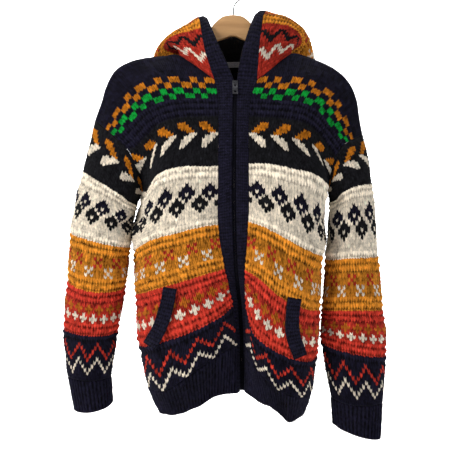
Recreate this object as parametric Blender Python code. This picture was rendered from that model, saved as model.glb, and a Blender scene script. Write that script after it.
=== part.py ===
"""A hooded, zipped jacket of thick hand knit wool, hanging on a wooden coat hanger.

Lengths here are in millimetres and the meshes are made in metres, +Z up, the front facing -Y.
The origin is the seat inside the hanger's hook. Left and right are as seen from the front.
Each panel is a table of sections. A section is one knitted row, read from the front edge to the side,
and the number beside its name counts the knitted rows down from the shoulder.
"""

import math

import bmesh
import bpy
import numpy as np

MM = 0.001

# Driving sizes
KNIT_WALL = 5.0
FLEECE_WALL = 1.6
SEAM_GAP = 0.3
RIB_RAISE = 1.6
RIB_PITCH = 7.0
HALF_CHEST = 252.0
CUFF_RIBS = 34
BAND_RAISE = 2.0
WELT_WIDTH = 24.0
WELT_WALL = 4.0
HOOD_RELAX = 1
LINING_GAP = 1.3
LINING_TOP_ROW = 8
LABEL_SHARE = 0.62
LABEL_ROWS = (0.2, 0.5)
LABEL_WALL = 0.8
LABEL_GAP = 0.8
TAPE_SHARE = 0.65
TAPE_WALL = 1.2
CHAIN_WIDTH = 5.6
CHAIN_WALL = 3.2
CHAIN_BACK = 5.5
TAPE_DEEP = 5.9
BAND_TO_ZIP = 3.4
HANGER_THICKNESS = 14.0
HANGER_TILT = math.radians(1.25)
HOOK_INSIDE_RADIUS = 17.0
HOOK_WIRE_RADIUS = 1.5
HOOK_STEM_FOOT = -60.5

SLIDER_WIDTH = 10.0
SLIDER_HEIGHT = 13.0
SLIDER_WALL = 1.6
SLIDER_PLACE = (1.6, -78.9, -196.5)
ZIP_SLOPE = math.radians(14.4)
CORE_WIDTH = 4.4
CORE_DEPTH = 2.4
BRIDGE_WIDTH = 1.6
BRIDGE_WALL = 1.1
BRIDGE_REACH = 5.0
BRIDGE_HEIGHT = 7.2
PULL_WIDTH = 9.6
PULL_LENGTH = 20.0
PULL_WALL = 1.4
PULL_BAR = 1.4
PULL_NECK = 7.4
PULL_WINDOW = 4.0
PULL_HOLE = 2.2
PULL_PIVOT_OUT = 2.4

# Knitted rows, counted down from the shoulder
ROW_RIDGES = 15
ROW_PIT = 38
ROW_RIB = 97
ROW_HEM = 111
NECK_ROW = 8.2
NECK_SHARE = 0.21
BACK_NECK_SHARE = 0.333

# Where the grids have their columns and rows
FRONT_COLUMNS = (0, 0.052, 0.105, 0.157, NECK_SHARE, 0.32, 0.43, 0.54, 0.65, 0.76, 0.88, 1)
BACK_HALF_COLUMNS = (0, 0.05, 0.10, 0.15, 0.20, 0.25, 0.295, BACK_NECK_SHARE, 0.37, 0.41, 0.455)
PANEL_ROWS = (0, 5, 10, ROW_RIDGES, 20, 25, 30, 34, ROW_PIT, 44, 51, 58, 65, 72, 79, 86, 92, ROW_RIB)
SLEEVE_ROWS = (0, 6, 12, 17, 24, 31, 37, 44, 51, 58, 65, 72, 78)
HOOD_ROWS = (0, 4, 8, 13, 19, 25, 32, 38, 45, 51, 56)

# Sections of the fronts: name, row, front edge, crest, middle, fold, flank, side
FRONT_LEFT = (
    ("shoulder", 0, (-44, -20, -141), (-66, -12, -138), (-95, 0, -136), (-170, 0, -141), (-218, 0, -161), (-260, 0, -258)),
    ("fleck", 7, (-37, -62, -182), (-57, -57, -180), (-96, -50, -179), (-158, -44, -184), (-203, -36, -213), (-238, -32, -275)),
    ("ridges", 15, (-30, -78, -222), (-62, -75, -222), (-106, -70, -222), (-163, -62, -239), (-193, -52, -267), (-217, -48, -293)),
    ("black", 21, (-29, -86, -254), (-62, -86, -254), (-106, -82, -257), (-150, -72, -274), (-170, -58, -299), (-195, -52, -315)),
    ("leaf", 30, (-29, -92, -299), (-62, -95, -299), (-100, -93, -303), (-138, -80, -317), (-160, -56, -341), (-179, -42, -348)),
    ("white", 38, (-29, -95, -345), (-62, -100, -346), (-98, -100, -347), (-138, -87, -360), (-156, -48, -392), (-166, 0, -385)),
    ("diamond", 44, (-29, -96, -380), (-62, -102, -381), (-98, -103, -384), (-143, -86, -400), (-168, -44, -425), (-175, 0, -432)),
    ("gold", 58, (-29, -93, -451), (-55, -102, -454), (-98, -105, -465), (-152, -86, -480), (-179, -44, -498), (-187, 0, -505)),
    ("red", 72, (-17, -84, -531), (-40, -98, -537), (-94, -106, -553), (-158, -84, -572), (-179, -42, -579), (-183, 0, -582)),
    ("navy", 86, (-2, -70, -598), (-22, -93, -615), (-76, -107, -643), (-145, -84, -668), (-171, -42, -675), (-177, 0, -675)),
    ("rib", 97, (5, -60, -672), (-15, -86, -679), (-62, -104, -709), (-129, -84, -753), (-155, -42, -754), (-160, 0, -750)),
    ("hem", 111, (4, -46, -762), (-30, -58, -765), (-66, -62, -785), (-114, -52, -801), (-137, -26, -797), (-148, 0, -783)),
)
FRONT_RIGHT = (
    ("shoulder", 0, (52, -20, -141), (70, -12, -137), (93, 0, -132), (151, 0, -143), (209, 0, -178), (241, 0, -283)),
    ("fleck", 7, (44, -62, -182), (60, -57, -180), (95, -50, -179), (152, -44, -188), (192, -36, -216), (221, -32, -294)),
    ("ridges", 15, (30, -78, -222), (54, -76, -223), (98, -71, -225), (147, -63, -235), (174, -52, -267), (204, -46, -304)),
    ("black", 21, (27, -86, -254), (52, -86, -255), (99, -82, -259), (145, -73, -273), (170, -57, -303), (187, -49, -326)),
    ("leaf", 30, (26, -92, -299), (53, -95, -301), (100, -93, -308), (146, -80, -322), (168, -54, -346), (178, -40, -355)),
    ("white", 38, (26, -95, -341), (53, -100, -341), (96, -100, -348), (146, -87, -360), (170, -48, -377), (174, 0, -382)),
    ("diamond", 44, (26, -96, -375), (53, -102, -379), (98, -103, -391), (146, -86, -413), (167, -42, -429), (166, 0, -432)),
    ("gold", 58, (25, -93, -445), (46, -102, -452), (93, -105, -476), (139, -86, -501), (159, -42, -510), (158, 0, -512)),
    ("red", 72, (19, -84, -532), (39, -98, -544), (84, -106, -582), (133, -84, -605), (152, -42, -609), (152, 0, -610)),
    ("navy", 86, (21, -68, -600), (37, -92, -651), (84, -107, -684), (127, -84, -699), (147, -42, -697), (150, 0, -692)),
    ("rib", 97, (22, -58, -672), (39, -84, -711), (75, -103, -747), (117, -84, -764), (137, -42, -762), (145, 0, -757)),
    ("hem", 111, (26, -46, -763), (44, -56, -775), (74, -62, -790), (100, -52, -814), (128, -26, -801), (138, 0, -782)),
)
# Sections of the back: name, row, left side, flank, fold, middle, centre, middle, fold, flank, right side
BACK = (
    ("shoulder", 0, (-260, 0, -258), (-218, 0, -161), (-170, 0, -141), (-100, 0, -136), (-86, 20, -147),
     (-50, 35, -159), (0, 40, -164), (50, 35, -158), (83, 20, -143), (97, 0, -132), (151, 0, -143), (209, 0, -178), (241, 0, -283)),
    ("fleck", 7, (-242, 32, -272), (-207, 36, -208), (-162, 44, -178), (-89, 56, -170), (0, 66, -190), (90, 56, -170), (156, 44, -183), (196, 36, -212), (226, 32, -291)),
    ("ridges", 15, (-222, 48, -289), (-198, 52, -262), (-166, 63, -230), (-90, 80, -210), (0, 88, -217), (91, 80, -212), (150, 63, -228), (180, 52, -262), (210, 46, -300)),
    ("black", 21, (-201, 52, -311), (-176, 58, -294), (-151, 74, -266), (-85, 92, -245), (0, 99, -245), (86, 92, -245), (149, 74, -265), (176, 57, -298), (193, 49, -323)),
    ("leaf", 30, (-183, 42, -346), (-165, 56, -338), (-140, 82, -310), (-81, 101, -293), (0, 107, -291), (82, 101, -295), (148, 82, -316), (174, 54, -344), (182, 40, -354)),
    ("white", 38, (-166, 0, -385), (-160, 48, -387), (-141, 89, -360), (-79, 105, -342), (0, 110, -340), (80, 105, -342), (148, 89, -360), (173, 48, -379), (174, 0, -382)),
    ("diamond", 44, (-175, 0, -432), (-172, 46, -425), (-148, 90, -398), (-81, 107, -382), (0, 113, -380), (82, 107, -386), (149, 90, -414), (168, 46, -429), (166, 0, -432)),
    ("gold", 58, (-187, 0, -505), (-181, 46, -501), (-156, 90, -484), (-85, 109, -471), (0, 115, -467), (86, 109, -477), (143, 90, -504), (158, 46, -511), (158, 0, -512)),
    ("red", 72, (-183, 0, -582), (-180, 46, -584), (-160, 88, -577), (-85, 108, -565), (0, 113, -561), (86, 108, -576), (137, 88, -606), (152, 46, -610), (152, 0, -610)),
    ("navy", 86, (-177, 0, -675), (-174, 46, -678), (-150, 86, -672), (-79, 105, -652), (0, 109, -646), (82, 105, -667), (130, 86, -697), (148, 46, -699), (150, 0, -692)),
    ("rib", 97, (-160, 0, -750), (-157, 42, -757), (-132, 80, -756), (-71, 98, -737), (0, 103, -731), (78, 98, -745), (120, 80, -766), (138, 42, -765), (145, 0, -757)),
    ("hem", 111, (-148, 0, -783), (-140, 28, -795), (-114, 58, -795), (-61, 72, -781), (0, 77, -770), (66, 72, -781), (107, 58, -802), (129, 28, -797), (138, 0, -782)),
)
# Rings of the sleeves below the armhole: name, row, inner side, front, outer side, back
SLEEVE_LEFT = (
    ("white", 17, (-181, 0, -415), (-223, -58, -387), (-282, 0, -352), (-233, 58, -380)),
    ("gold", 37, (-194, 0, -492), (-244, -58, -485), (-306, 0, -466), (-254, 58, -477)),
    ("red", 51, (-202, 0, -565), (-255, -54, -575), (-310, 0, -555), (-261, 54, -557)),
    ("navy", 65, (-217, 0, -649), (-259, -49, -656), (-318, 0, -645), (-272, 49, -643)),
    ("rib", 78, (-230, 0, -733), (-265, -40, -740), (-309, 0, -735), (-273, 40, -735)),
    ("grip", 82, (-234, 0, -757), (-264, -33, -765), (-301, 0, -759), (-271, 33, -757)),
    ("cuff", 90, (-227, 0, -783), (-259, -34, -798), (-297, 0, -797), (-265, 34, -784)),
)
SLEEVE_RIGHT = (
    ("white", 17, (179, 8, -411), (213, -46, -385), (259, 4, -376), (223, 62, -389)),
    ("gold", 37, (172, 14, -515), (215, -44, -513), (270, 8, -509), (225, 68, -504)),
    ("red", 51, (166, 14, -610), (217, -44, -609), (280, 8, -610), (227, 64, -602)),
    ("navy", 65, (164, 10, -668), (213, -42, -688), (285, 6, -696), (226, 54, -676)),
    ("rib", 78, (182, 4, -773), (221, -34, -785), (277, 2, -784), (232, 40, -775)),
    ("grip", 82, (185, 2, -795), (225, -29, -804), (273, 0, -806), (235, 32, -795)),
    ("cuff", 90, (185, 0, -821), (226, -28, -843), (273, 0, -851), (235, 28, -832)),
)
# Sections of the hood above the neck seam: name, row, rim, front, side, back, nape
HOOD_LEFT = (
    ("stand", 8, (-52, -58, -140), (-92, -24, -124), (-122, 18, -114), (-82, 46, -108), (0, 58, -104)),
    ("lobe", 19, (-65, -8, -67), (-110, 24, -80), (-150, 62, -119), (-98, 86, -148), (0, 88, -162)),
    ("fall", 32, (-70, 66, -84), (-124, 98, -115), (-176, 112, -180), (-116, 110, -224), (0, 112, -242)),
    ("bag", 45, (-42, 118, -128), (-93, 146, -165), (-148, 142, -232), (-85, 126, -284), (0, 122, -305)),
    ("crown", 56, (0, 142, -153), (0, 168, -207), (0, 172, -262), (0, 158, -310), (0, 134, -338)),
)
HOOD_RIGHT = (
    ("stand", 8, (46, -56, -132), (86, -24, -118), (120, 18, -114), (82, 46, -108), (0, 58, -104)),
    ("lobe", 19, (56, -6, -57), (102, 24, -66), (142, 62, -111), (96, 86, -146), (0, 88, -162)),
    ("fall", 32, (72, 66, -66), (124, 98, -99), (163, 112, -176), (112, 110, -223), (0, 112, -242)),
    ("bag", 45, (42, 118, -124), (90, 146, -165), (140, 142, -232), (82, 126, -284), (0, 122, -305)),
    ("crown", 56, (0, 142, -153), (0, 168, -207), (0, 172, -262), (0, 158, -310), (0, 134, -338)),
)
# Free edges of the navy bands on the hood's rim: name, row, left edge, right edge
HOOD_RIM = (
    ("stand", 8, (-24, -68, -134), (16, -66, -130)),
    ("lobe", 19, (-50, 16, -64), (40, 18, -54)),
    ("fall", 32, (-46, 76, -98), (48, 76, -84)),
    ("bag", 45, (-24, 104, -146), (24, 104, -144)),
    ("crown", 56, (-2, 124, -172), (2, 124, -172)),
)
# Centre line of the zip: name, row, point
ZIP_LINE = (
    ("neck", 8.2, (2, -74, -187)),
    ("ridges", 15, (1, -83, -222)),
    ("leaf", 30, (0, -95, -299)),
    ("gold", 58, (0, -94, -448)),
    ("red", 72, (3, -81, -531)),
    ("navy", 86, (10, -56, -598)),
    ("rib", 97, (14, -42, -672)),
    ("hem", 111, (15, -30, -758)),
)
# Middle lines of the pocket welts, from the top down: name, left x and z, right x and z
POCKET_LINE = (
    ("top", (-114, -562), (108, -580)),
    ("upper", (-121, -600), (104, -606)),
    ("lower", (-134, -640), (103, -645)),
    ("foot", (-151, -671), (117, -690)),
)
# Outline of the hanger's arm before it tilts: distance out, middle's y, top, foot, thickness
HANGER_ARM = (
    ("centre", 0, 0, -60, -101, 14),
    ("block", 14, 0, -63, -104, 14),
    ("shoulder", 34, -1, -82, -114, 14),
    ("neck", 55, -4, -119, -146, 12),
    ("bend", 72, -4, -148, -172, 11),
    ("arm", 98, -3, -150, -172, 11),
    ("middle arm", 130, -3, -152, -173, 12),
    ("outer arm", 162, -3, -156, -175, 12),
    ("drop", 186, -3, -167, -183, 11),
    ("end", 200, -3, -179, -191, 8),
)

NAVY = (0.012, 0.011, 0.028)
FLEECE = (0.006, 0.006, 0.007)
METAL = (0.07, 0.07, 0.08)
WOOD = (0.53, 0.32, 0.15)
LABEL_GREY = (0.34, 0.34, 0.35)
RED = (0.42, 0.045, 0.032)
CREAM = (0.76, 0.68, 0.56)


def material(name, colour, roughness=0.9, metallic=0.0):
    made = bpy.data.materials.new(name)
    made.use_nodes = True
    shader = made.node_tree.nodes["Principled BSDF"]
    shader.inputs["Base Color"].default_value = (*colour, 1)
    shader.inputs["Roughness"].default_value = roughness
    shader.inputs["Metallic"].default_value = metallic
    made.diffuse_color = (*colour, 1)
    return made


def smooth(knots, values, at):
    """The smooth curve through the values at the knots, read at each place in at."""
    knots = np.asarray(knots, float)
    values = np.asarray(values, float)
    at = np.asarray(at, float)
    steps = np.diff(knots)
    slopes = np.diff(values, axis=0) / steps[:, None]
    tangents = np.empty_like(values)
    tangents[0], tangents[-1] = slopes[0], slopes[-1]
    weight = (steps[1:] / (steps[1:] + steps[:-1]))[:, None]
    tangents[1:-1] = slopes[:-1] * weight + slopes[1:] * (1 - weight)
    span = np.clip(np.searchsorted(knots, at, side="right") - 1, 0, len(steps) - 1)
    t = ((at - knots[span]) / steps[span])[:, None]
    length = steps[span][:, None]
    start = values[span] * (1 + 2 * t) * (1 - t) ** 2 + tangents[span] * length * t * (1 - t) ** 2
    end = values[span + 1] * t**2 * (3 - 2 * t) + tangents[span + 1] * length * t**2 * (t - 1)
    return start + end


def arc_shares(points):
    """How far along its own length each point of a line lies, from 0 to 1."""
    lengths = np.linalg.norm(np.diff(points, axis=0), axis=1)
    run = np.concatenate([[0], np.cumsum(lengths)])
    return run / run[-1]


def even_points(points, shares):
    """Points on the smooth line through the section's points, at these shares of its length."""
    points = np.asarray(points, float)
    fine = smooth(arc_shares(points), points, np.linspace(0, 1, 241))
    run = arc_shares(fine)
    return np.stack([np.interp(shares, run, fine[:, axis]) for axis in range(3)], axis=1)


def ring_points(quarters, shares):
    """Points round a sleeve's ring, which passes its inner, front, outer and back points in turn."""
    inner, front, outer, back = (np.asarray(q, float) for q in quarters)
    turn = np.linspace(0, 2 * math.pi, 241)[:, None]
    middle = (inner + outer) / 2
    ring = middle + np.cos(turn) * (inner - outer) / 2 + np.sin(turn) * (front - back) / 2
    ring = ring + np.sin(turn) ** 2 * ((front + back) / 2 - middle)
    run = arc_shares(ring)
    return np.stack([np.interp(shares, run, ring[:, axis]) for axis in range(3)], axis=1)


def cloth(table, shares, rows, place=even_points, first=None):
    """The grid of points where these rows and shares of a piece lie. rows has one list for all the
    columns, or one for each. first is a ready line of points for row 0."""
    knots = [section[1] for section in table]
    lines = [place(section[2:], shares) for section in table]
    if first is not None:
        knots.insert(0, 0)
        lines.insert(0, first)
    lines = np.array(lines)
    rows = np.asarray(rows, float)
    if rows.ndim == 1:
        rows = np.repeat(rows[:, None], len(shares), axis=1)
    columns = [smooth(knots, lines[:, c], rows[:, c]) for c in range(len(shares))]
    return np.stack(columns, axis=1)


def unit(vectors):
    return vectors / np.linalg.norm(vectors, axis=-1, keepdims=True)


def outward(grid, turn, ring=False):
    """The outward direction at each point of a grid, the mean of the cells round it. turn is 1 or -1, by
    the side that the cloth shows."""
    closed = np.concatenate([grid, grid[:, :1]], axis=1) if ring else grid
    first = closed[1:, 1:] - closed[:-1, :-1]
    second = closed[1:, :-1] - closed[:-1, 1:]
    cells = np.cross(first, second) * turn
    cells = cells / np.maximum(np.linalg.norm(cells, axis=-1, keepdims=True), 1e-9)
    rows, columns = closed.shape[:2]
    total = np.zeros((rows, columns, 3))
    for row in (0, 1):
        for column in (0, 1):
            total[row : rows - 1 + row, column : columns - 1 + column] += cells
    if ring:
        total[:, 0] += total[:, -1]
        total = total[:, :-1]
    return unit(total)


def draw_back(line, inside, by=SEAM_GAP / 2):
    """Moves an edge line of a grid back into its own piece, so that a seam has its gap."""
    line += by * unit(inside - line)


def share_seam(first, second):
    """Gives two edges that are sewn together one direction for their wall."""
    both = unit(first + second)
    first[...] = both
    second[...] = both


def flatten_seam(grid, out, line, axis, side):
    """Keeps an edge on the plane through the origin across this axis, half a seam's gap off it."""
    grid[line][..., axis] = side * SEAM_GAP / 2
    out[line][..., axis] = 0
    out[line] = unit(out[line])


def new_object(name, points, faces, look):
    mesh = bpy.data.meshes.new(name)
    mesh.from_pydata([tuple(p * MM) for p in np.asarray(points, float)], [], faces)
    body = bmesh.new()
    body.from_mesh(mesh)
    bmesh.ops.recalc_face_normals(body, faces=body.faces)
    if body.calc_volume(signed=True) < 0:
        bmesh.ops.reverse_faces(body, faces=body.faces)
    body.to_mesh(mesh)
    body.free()
    mesh.materials.append(look)
    made = bpy.data.objects.new(name, mesh)
    bpy.context.scene.collection.objects.link(made)
    return made


def wall(name, outer, inner, look, ring=False):
    """A closed wall of cloth between two grids of the same size. Cells are split alike in every layer, and
    an edge's cells have a middle point, so pieces that meet have the same facets there."""
    rows, columns = outer.shape[:2]
    inside = rows * columns
    spans = columns if ring else columns - 1
    points = list(outer.reshape(-1, 3)) + list(inner.reshape(-1, 3))
    faces = []

    def at(row, column):
        return row * columns + column % columns

    def edge_cell(a, b):
        points.append((points[a] + points[b] + points[a + inside] + points[b + inside]) / 4)
        middle = len(points) - 1
        round_cell = (a, b, b + inside, a + inside)
        faces.extend((round_cell[i], round_cell[(i + 1) % 4], middle) for i in range(4))

    for row in range(rows - 1):
        for column in range(spans):
            a, b = at(row, column), at(row + 1, column)
            c, d = at(row + 1, column + 1), at(row, column + 1)
            for cell in ((a, b, c), (a, c, d)):
                faces.append(cell)
                faces.append(tuple(i + inside for i in reversed(cell)))
    for row in (0, rows - 1):
        for column in range(spans):
            edge_cell(at(row, column), at(row, column + 1))
    if not ring:
        for column in (0, columns - 1):
            for row in range(rows - 1):
                edge_cell(at(row, column), at(row + 1, column))
    made = new_object(name, points, faces, look)
    made.data.shade_smooth()
    made.data.set_sharp_from_angle(angle=math.radians(50))
    return made


def knit_wall(name, grid, out, look, ring=False):
    return wall(name, grid, grid - KNIT_WALL * out, look, ring)


def panel_rows(columns, neck_share):
    """Rows for each column of a front. Near the neck they start at the neckline and not the shoulder."""
    rows = np.repeat(np.array(PANEL_ROWS, float)[:, None], len(columns), axis=1)
    for c, share in enumerate(columns):
        top = NECK_ROW * max(0.0, 1 - share / neck_share)
        near = rows[:, c] < ROW_RIDGES
        rows[near, c] = top + rows[near, c] * (ROW_RIDGES - top) / ROW_RIDGES
    return rows


def line_between(line, shares, at):
    """Points on the straight stretches of a line, whose own points lie at these shares."""
    return np.stack([np.interp(at, shares, line[:, axis]) for axis in range(3)], axis=1)


def ribbed(name, top, top_out, shares, low, low_out, ribs, look, ring=False):
    """A ribbed edge below a piece: its top follows the piece's last line, and every second column stands
    out as a rib over a plain inside."""
    count = 2 * ribs
    at = np.arange(count) / count if ring else np.linspace(0, 1, count + 1)
    upper, upper_out = line_between(top, shares, at), line_between(top_out, shares, at)
    lower, lower_out = low(at), low_out(at)
    draw_back(upper, lower)
    if not ring:
        both = np.stack([upper, lower])
        draw_back(both[:, 0], both[:, 1])
        upper, lower = both
    raised = RIB_RAISE * (np.arange(len(at)) % 2)[:, None]
    outer = np.stack([upper + raised * upper_out, lower + raised * lower_out])
    inner = np.stack([upper - KNIT_WALL * upper_out, lower - KNIT_WALL * lower_out])
    return wall(name, outer, inner, look, ring)


def laid_on(name, grid, out, near, far, outline, look):
    """A piece that lies on a panel: the panel's own points moved out from near to far, cut to an outline
    given by its x and z, seen from the front."""
    layer = wall(name, grid + far * out, grid + near * out, look)
    count = len(outline)
    low, high = -260.0, 260.0
    points = [(x, y, z) for y in (low, high) for x, z in outline]
    sides = [(i, (i + 1) % count, (i + 1) % count + count, i + count) for i in range(count)]
    faces = [tuple(range(count)), tuple(range(2 * count - 1, count - 1, -1)), *sides]
    cutter = new_object(name + "_outline", points, faces, look)
    cutter.hide_render = True
    cutter.display_type = "WIRE"
    cut = layer.modifiers.new("outline", "BOOLEAN")
    cut.operation = "INTERSECT"
    cut.object = cutter
    return layer


def front_panel(side, table, look):
    """One front from the neck and shoulder to the top of the ribbed hem."""
    turn = 1 if side == "left" else -1
    grid = cloth(table, FRONT_COLUMNS, panel_rows(FRONT_COLUMNS, NECK_SHARE))
    out = outward(grid, turn)
    pit = PANEL_ROWS.index(ROW_PIT)
    neck = FRONT_COLUMNS.index(NECK_SHARE)
    flatten_seam(grid, out, np.s_[0, neck:], 1, -1)
    flatten_seam(grid, out, np.s_[pit:, -1], 1, -1)
    return grid, out, look


def back_panel(columns, left_front, right_front):
    """The back, whose shoulder seams take the points of the fronts' shoulders."""
    grid = cloth(BACK, columns, PANEL_ROWS)
    grid[:, len(columns) // 2, 0] = 0
    shoulder = columns.index(BACK_NECK_SHARE) + 1
    grid[0, :shoulder] = left_front[0, : -shoulder - 1 : -1]
    grid[0, -shoulder:] = right_front[0, -shoulder:]
    out = outward(grid, 1)
    pit = PANEL_ROWS.index(ROW_PIT)
    left, right = columns.index(BACK_NECK_SHARE), len(columns) - 1 - columns.index(BACK_NECK_SHARE)
    flatten_seam(grid, out, np.s_[0, : left + 1], 1, 1)
    flatten_seam(grid, out, np.s_[0, right:], 1, 1)
    flatten_seam(grid, out, np.s_[pit:, 0], 1, 1)
    flatten_seam(grid, out, np.s_[pit:, -1], 1, 1)
    return grid, out


def sleeve_panel(side, table, front, front_out, back, back_out):
    """A sleeve whose first ring is the armhole: up the front's edge from the pit, down the back's."""
    turn = 1 if side == "left" else -1
    pit = PANEL_ROWS.index(ROW_PIT)
    edge = 0 if side == "left" else -1
    up, down = np.s_[pit:0:-1, -1], np.s_[0:pit, edge]
    hole = np.concatenate([front[up], back[down]])
    shares = arc_shares(np.concatenate([hole, hole[:1]]))[:-1]
    grid = cloth(table, shares, SLEEVE_ROWS, ring_points, first=hole)
    out = outward(grid, turn, ring=True)
    seam = unit(np.concatenate([front_out[up], back_out[down]]) + out[0])
    seam[[0, pit], 1] = 0
    seam = unit(seam)
    out[0] = seam
    front_out[up] = seam[:pit]
    back_out[down] = seam[pit:]
    front_out[0, -1] = seam[pit]
    back_out[pit, edge] = seam[0]
    draw_back(grid[0], grid[1])
    return grid, out, shares


def relax(grid, times):
    """Softens the inside of a grid: each point goes half way to the middle of its neighbours."""
    for _ in range(times):
        around = grid[:-2, 1:-1] + grid[2:, 1:-1] + grid[1:-1, :-2] + grid[1:-1, 2:]
        grid[1:-1, 1:-1] += (around / 4 - grid[1:-1, 1:-1]) / 2


def pocket_welt(side, front, front_out):
    """The navy welt of a slanted pocket, laid on the front along its own middle line."""
    column = 1 if side == "left" else 2
    line = np.array([[row[column][0], 0, row[column][1]] for row in POCKET_LINE], float)
    fine = smooth(arc_shares(line), line, np.linspace(0, 1, 9))
    along = unit(np.gradient(fine, axis=0))
    aside = np.stack([along[:, 2], along[:, 1], -along[:, 0]], axis=1) * WELT_WIDTH / 2
    outline = [(p[0], p[2]) for p in [*(fine + aside), *reversed(fine - aside)]]
    rows = np.s_[PANEL_ROWS.index(58) :, 3:-1]
    laid_on(
        "pocket_welt_" + side, front[rows], front_out[rows], SEAM_GAP, SEAM_GAP + WELT_WALL, outline,
        material("pocket_welt_" + side, NAVY),
    )


def hood_half(side, table, front, front_out, back, back_out, columns):
    """Half of the hood, sewn to the neckline of the front and of the back."""
    turn = -1 if side == "left" else 1
    neck = FRONT_COLUMNS.index(NECK_SHARE)
    start, middle = columns.index(BACK_NECK_SHARE), len(columns) // 2
    if side == "left":
        behind = np.s_[0, start + 1 : middle + 1]
    else:
        behind = np.s_[0, len(columns) - 2 - start : middle - 1 : -1]
    before = np.s_[0, : neck + 1]
    line = np.concatenate([front[before], back[behind]])
    shares = arc_shares(line)
    grid = cloth(table, shares, HOOD_ROWS, first=line)
    relax(grid, HOOD_RELAX)
    out = outward(grid, turn)
    out[-1, -1] = out[-2, -2]
    seam = unit(out[0] + np.concatenate([front_out[before], back_out[behind]]))
    seam[neck, 1] = 0
    seam[-1] = (0, 1, 0)
    seam = unit(seam)
    out[0] = seam
    front_out[before] = seam[: neck + 1]
    back_out[behind] = seam[neck + 1 :]
    back_out[0, start if side == "left" else -1 - start] = seam[neck]
    offset = -1 if side == "left" else 1
    flatten_seam(grid, out, np.s_[:, -1], 0, offset)
    flatten_seam(grid, out, np.s_[-1, :], 0, offset)
    draw_back(grid[0], grid[1], SEAM_GAP)
    return grid, out, shares


def band_grid(edge, free):
    """A band between the edge that it is sewn to and its free edge, slightly rounded across."""
    middle = (edge + free) / 2
    grid = np.stack([edge, middle, free], axis=1)
    return grid


def round_band(grid, out):
    grid[:, 1] += BAND_RAISE * out[:, 1]


def tube(name, line, radius, look):
    """A round wire along a line of points."""
    curve = bpy.data.curves.new(name, "CURVE")
    curve.dimensions = "3D"
    curve.bevel_depth = radius * MM
    curve.bevel_resolution = 2
    curve.use_fill_caps = True
    spline = curve.splines.new("POLY")
    spline.points.add(len(line) - 1)
    for point, place in zip(spline.points, line):
        point.co = (*(np.asarray(place) * MM), 1)
    curve.materials.append(look)
    made = bpy.data.objects.new(name, curve)
    bpy.context.scene.collection.objects.link(made)
    return made


def tilted(point):
    """A point of the hanger after it tilts about the hook's seat."""
    x, y, z = point
    cos, sin = math.cos(HANGER_TILT), math.sin(HANGER_TILT)
    return (x * cos + z * sin, y, -x * sin + z * cos)


def hanger_body(look):
    """The wooden hanger: rounded sections along both arms."""
    arm = [row[1:] for row in HANGER_ARM]
    stations = [(-out, *rest) for out, *rest in reversed(arm[1:])] + arm
    sides = 8
    points = []
    for out, middle_y, top, foot, thick in stations:
        middle, half = (top + foot) / 2, (top - foot) / 2
        for side in range(sides):
            turn = 2 * math.pi * (side + 0.5) / sides
            y = middle_y + thick / 2 * math.copysign(abs(math.cos(turn)) ** 0.6, math.cos(turn))
            z = middle + half * math.copysign(abs(math.sin(turn)) ** 0.6, math.sin(turn))
            points.append(tilted((out, y, z)))
    faces = [tuple(range(sides)), tuple(len(points) - sides + i for i in range(sides))]
    for station in range(len(stations) - 1):
        for side in range(sides):
            a, b = station * sides + side, station * sides + (side + 1) % sides
            faces.append((a, b, b + sides, a + sides))
    made = new_object("hanger_body", points, faces, look)
    made.data.shade_smooth()
    made.data.set_sharp_from_angle(angle=math.radians(50))
    return made


def hanger_hook(look):
    """The wire hook: a stem that sweeps to the right and over the seat, which is the origin."""
    radius = HOOK_INSIDE_RADIUS + HOOK_WIRE_RADIUS
    centre = -HOOK_INSIDE_RADIUS
    line = [(0, 0, HOOK_STEM_FOOT), (0, 0, -50), (1, 0, -43)]
    for step in range(15):
        turn = math.radians(-68 + step * 19)
        line.append((radius * math.cos(turn), 0, centre + radius * math.sin(turn)))
    return tube("hanger_hook", [tilted(p) for p in line], HOOK_WIRE_RADIUS, look)


def box(name, low, high, look):
    points = [(x, y, z) for x in (low[0], high[0]) for y in (low[1], high[1]) for z in (low[2], high[2])]
    faces = [(0, 1, 3, 2), (4, 6, 7, 5), (0, 4, 5, 1), (2, 3, 7, 6), (0, 2, 6, 4), (1, 5, 7, 3)]
    return new_object(name, points, faces, look)


def combine(base, other, operation):
    """Joins a cutter or an extra piece into base, and keeps the other object out of the build."""
    other.hide_render = True
    other.display_type = "WIRE"
    step = base.modifiers.new(other.name, "BOOLEAN")
    step.operation = operation
    step.object = other


def zip_slider(look):
    """The slider: a front plate over the chain, a core between the zip's halves, and a bridge that carries
    the pull tab. Sizes are from the plate's face, with the zip's own slope put in afterwards."""
    half = SLIDER_WIDTH / 2
    plate = box("zip_slider", (-half, 0, -SLIDER_HEIGHT / 2), (half, SLIDER_WALL, SLIDER_HEIGHT / 2), look)
    core = box("slider_core", (-CORE_WIDTH / 2, 1, -4), (CORE_WIDTH / 2, SLIDER_WALL + CORE_DEPTH, 4), look)
    combine(plate, core, "UNION")
    wide, post, reach = BRIDGE_WIDTH / 2, BRIDGE_WALL, BRIDGE_REACH
    high = BRIDGE_HEIGHT / 2
    arch = box("bridge", (-wide, -reach, -high), (wide, 0.6, high), look)
    combine(arch, box("bridge_hole", (-3, post - reach, post - high), (3, 0.3, high - post), look), "DIFFERENCE")
    combine(plate, arch, "UNION")
    return plate


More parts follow.
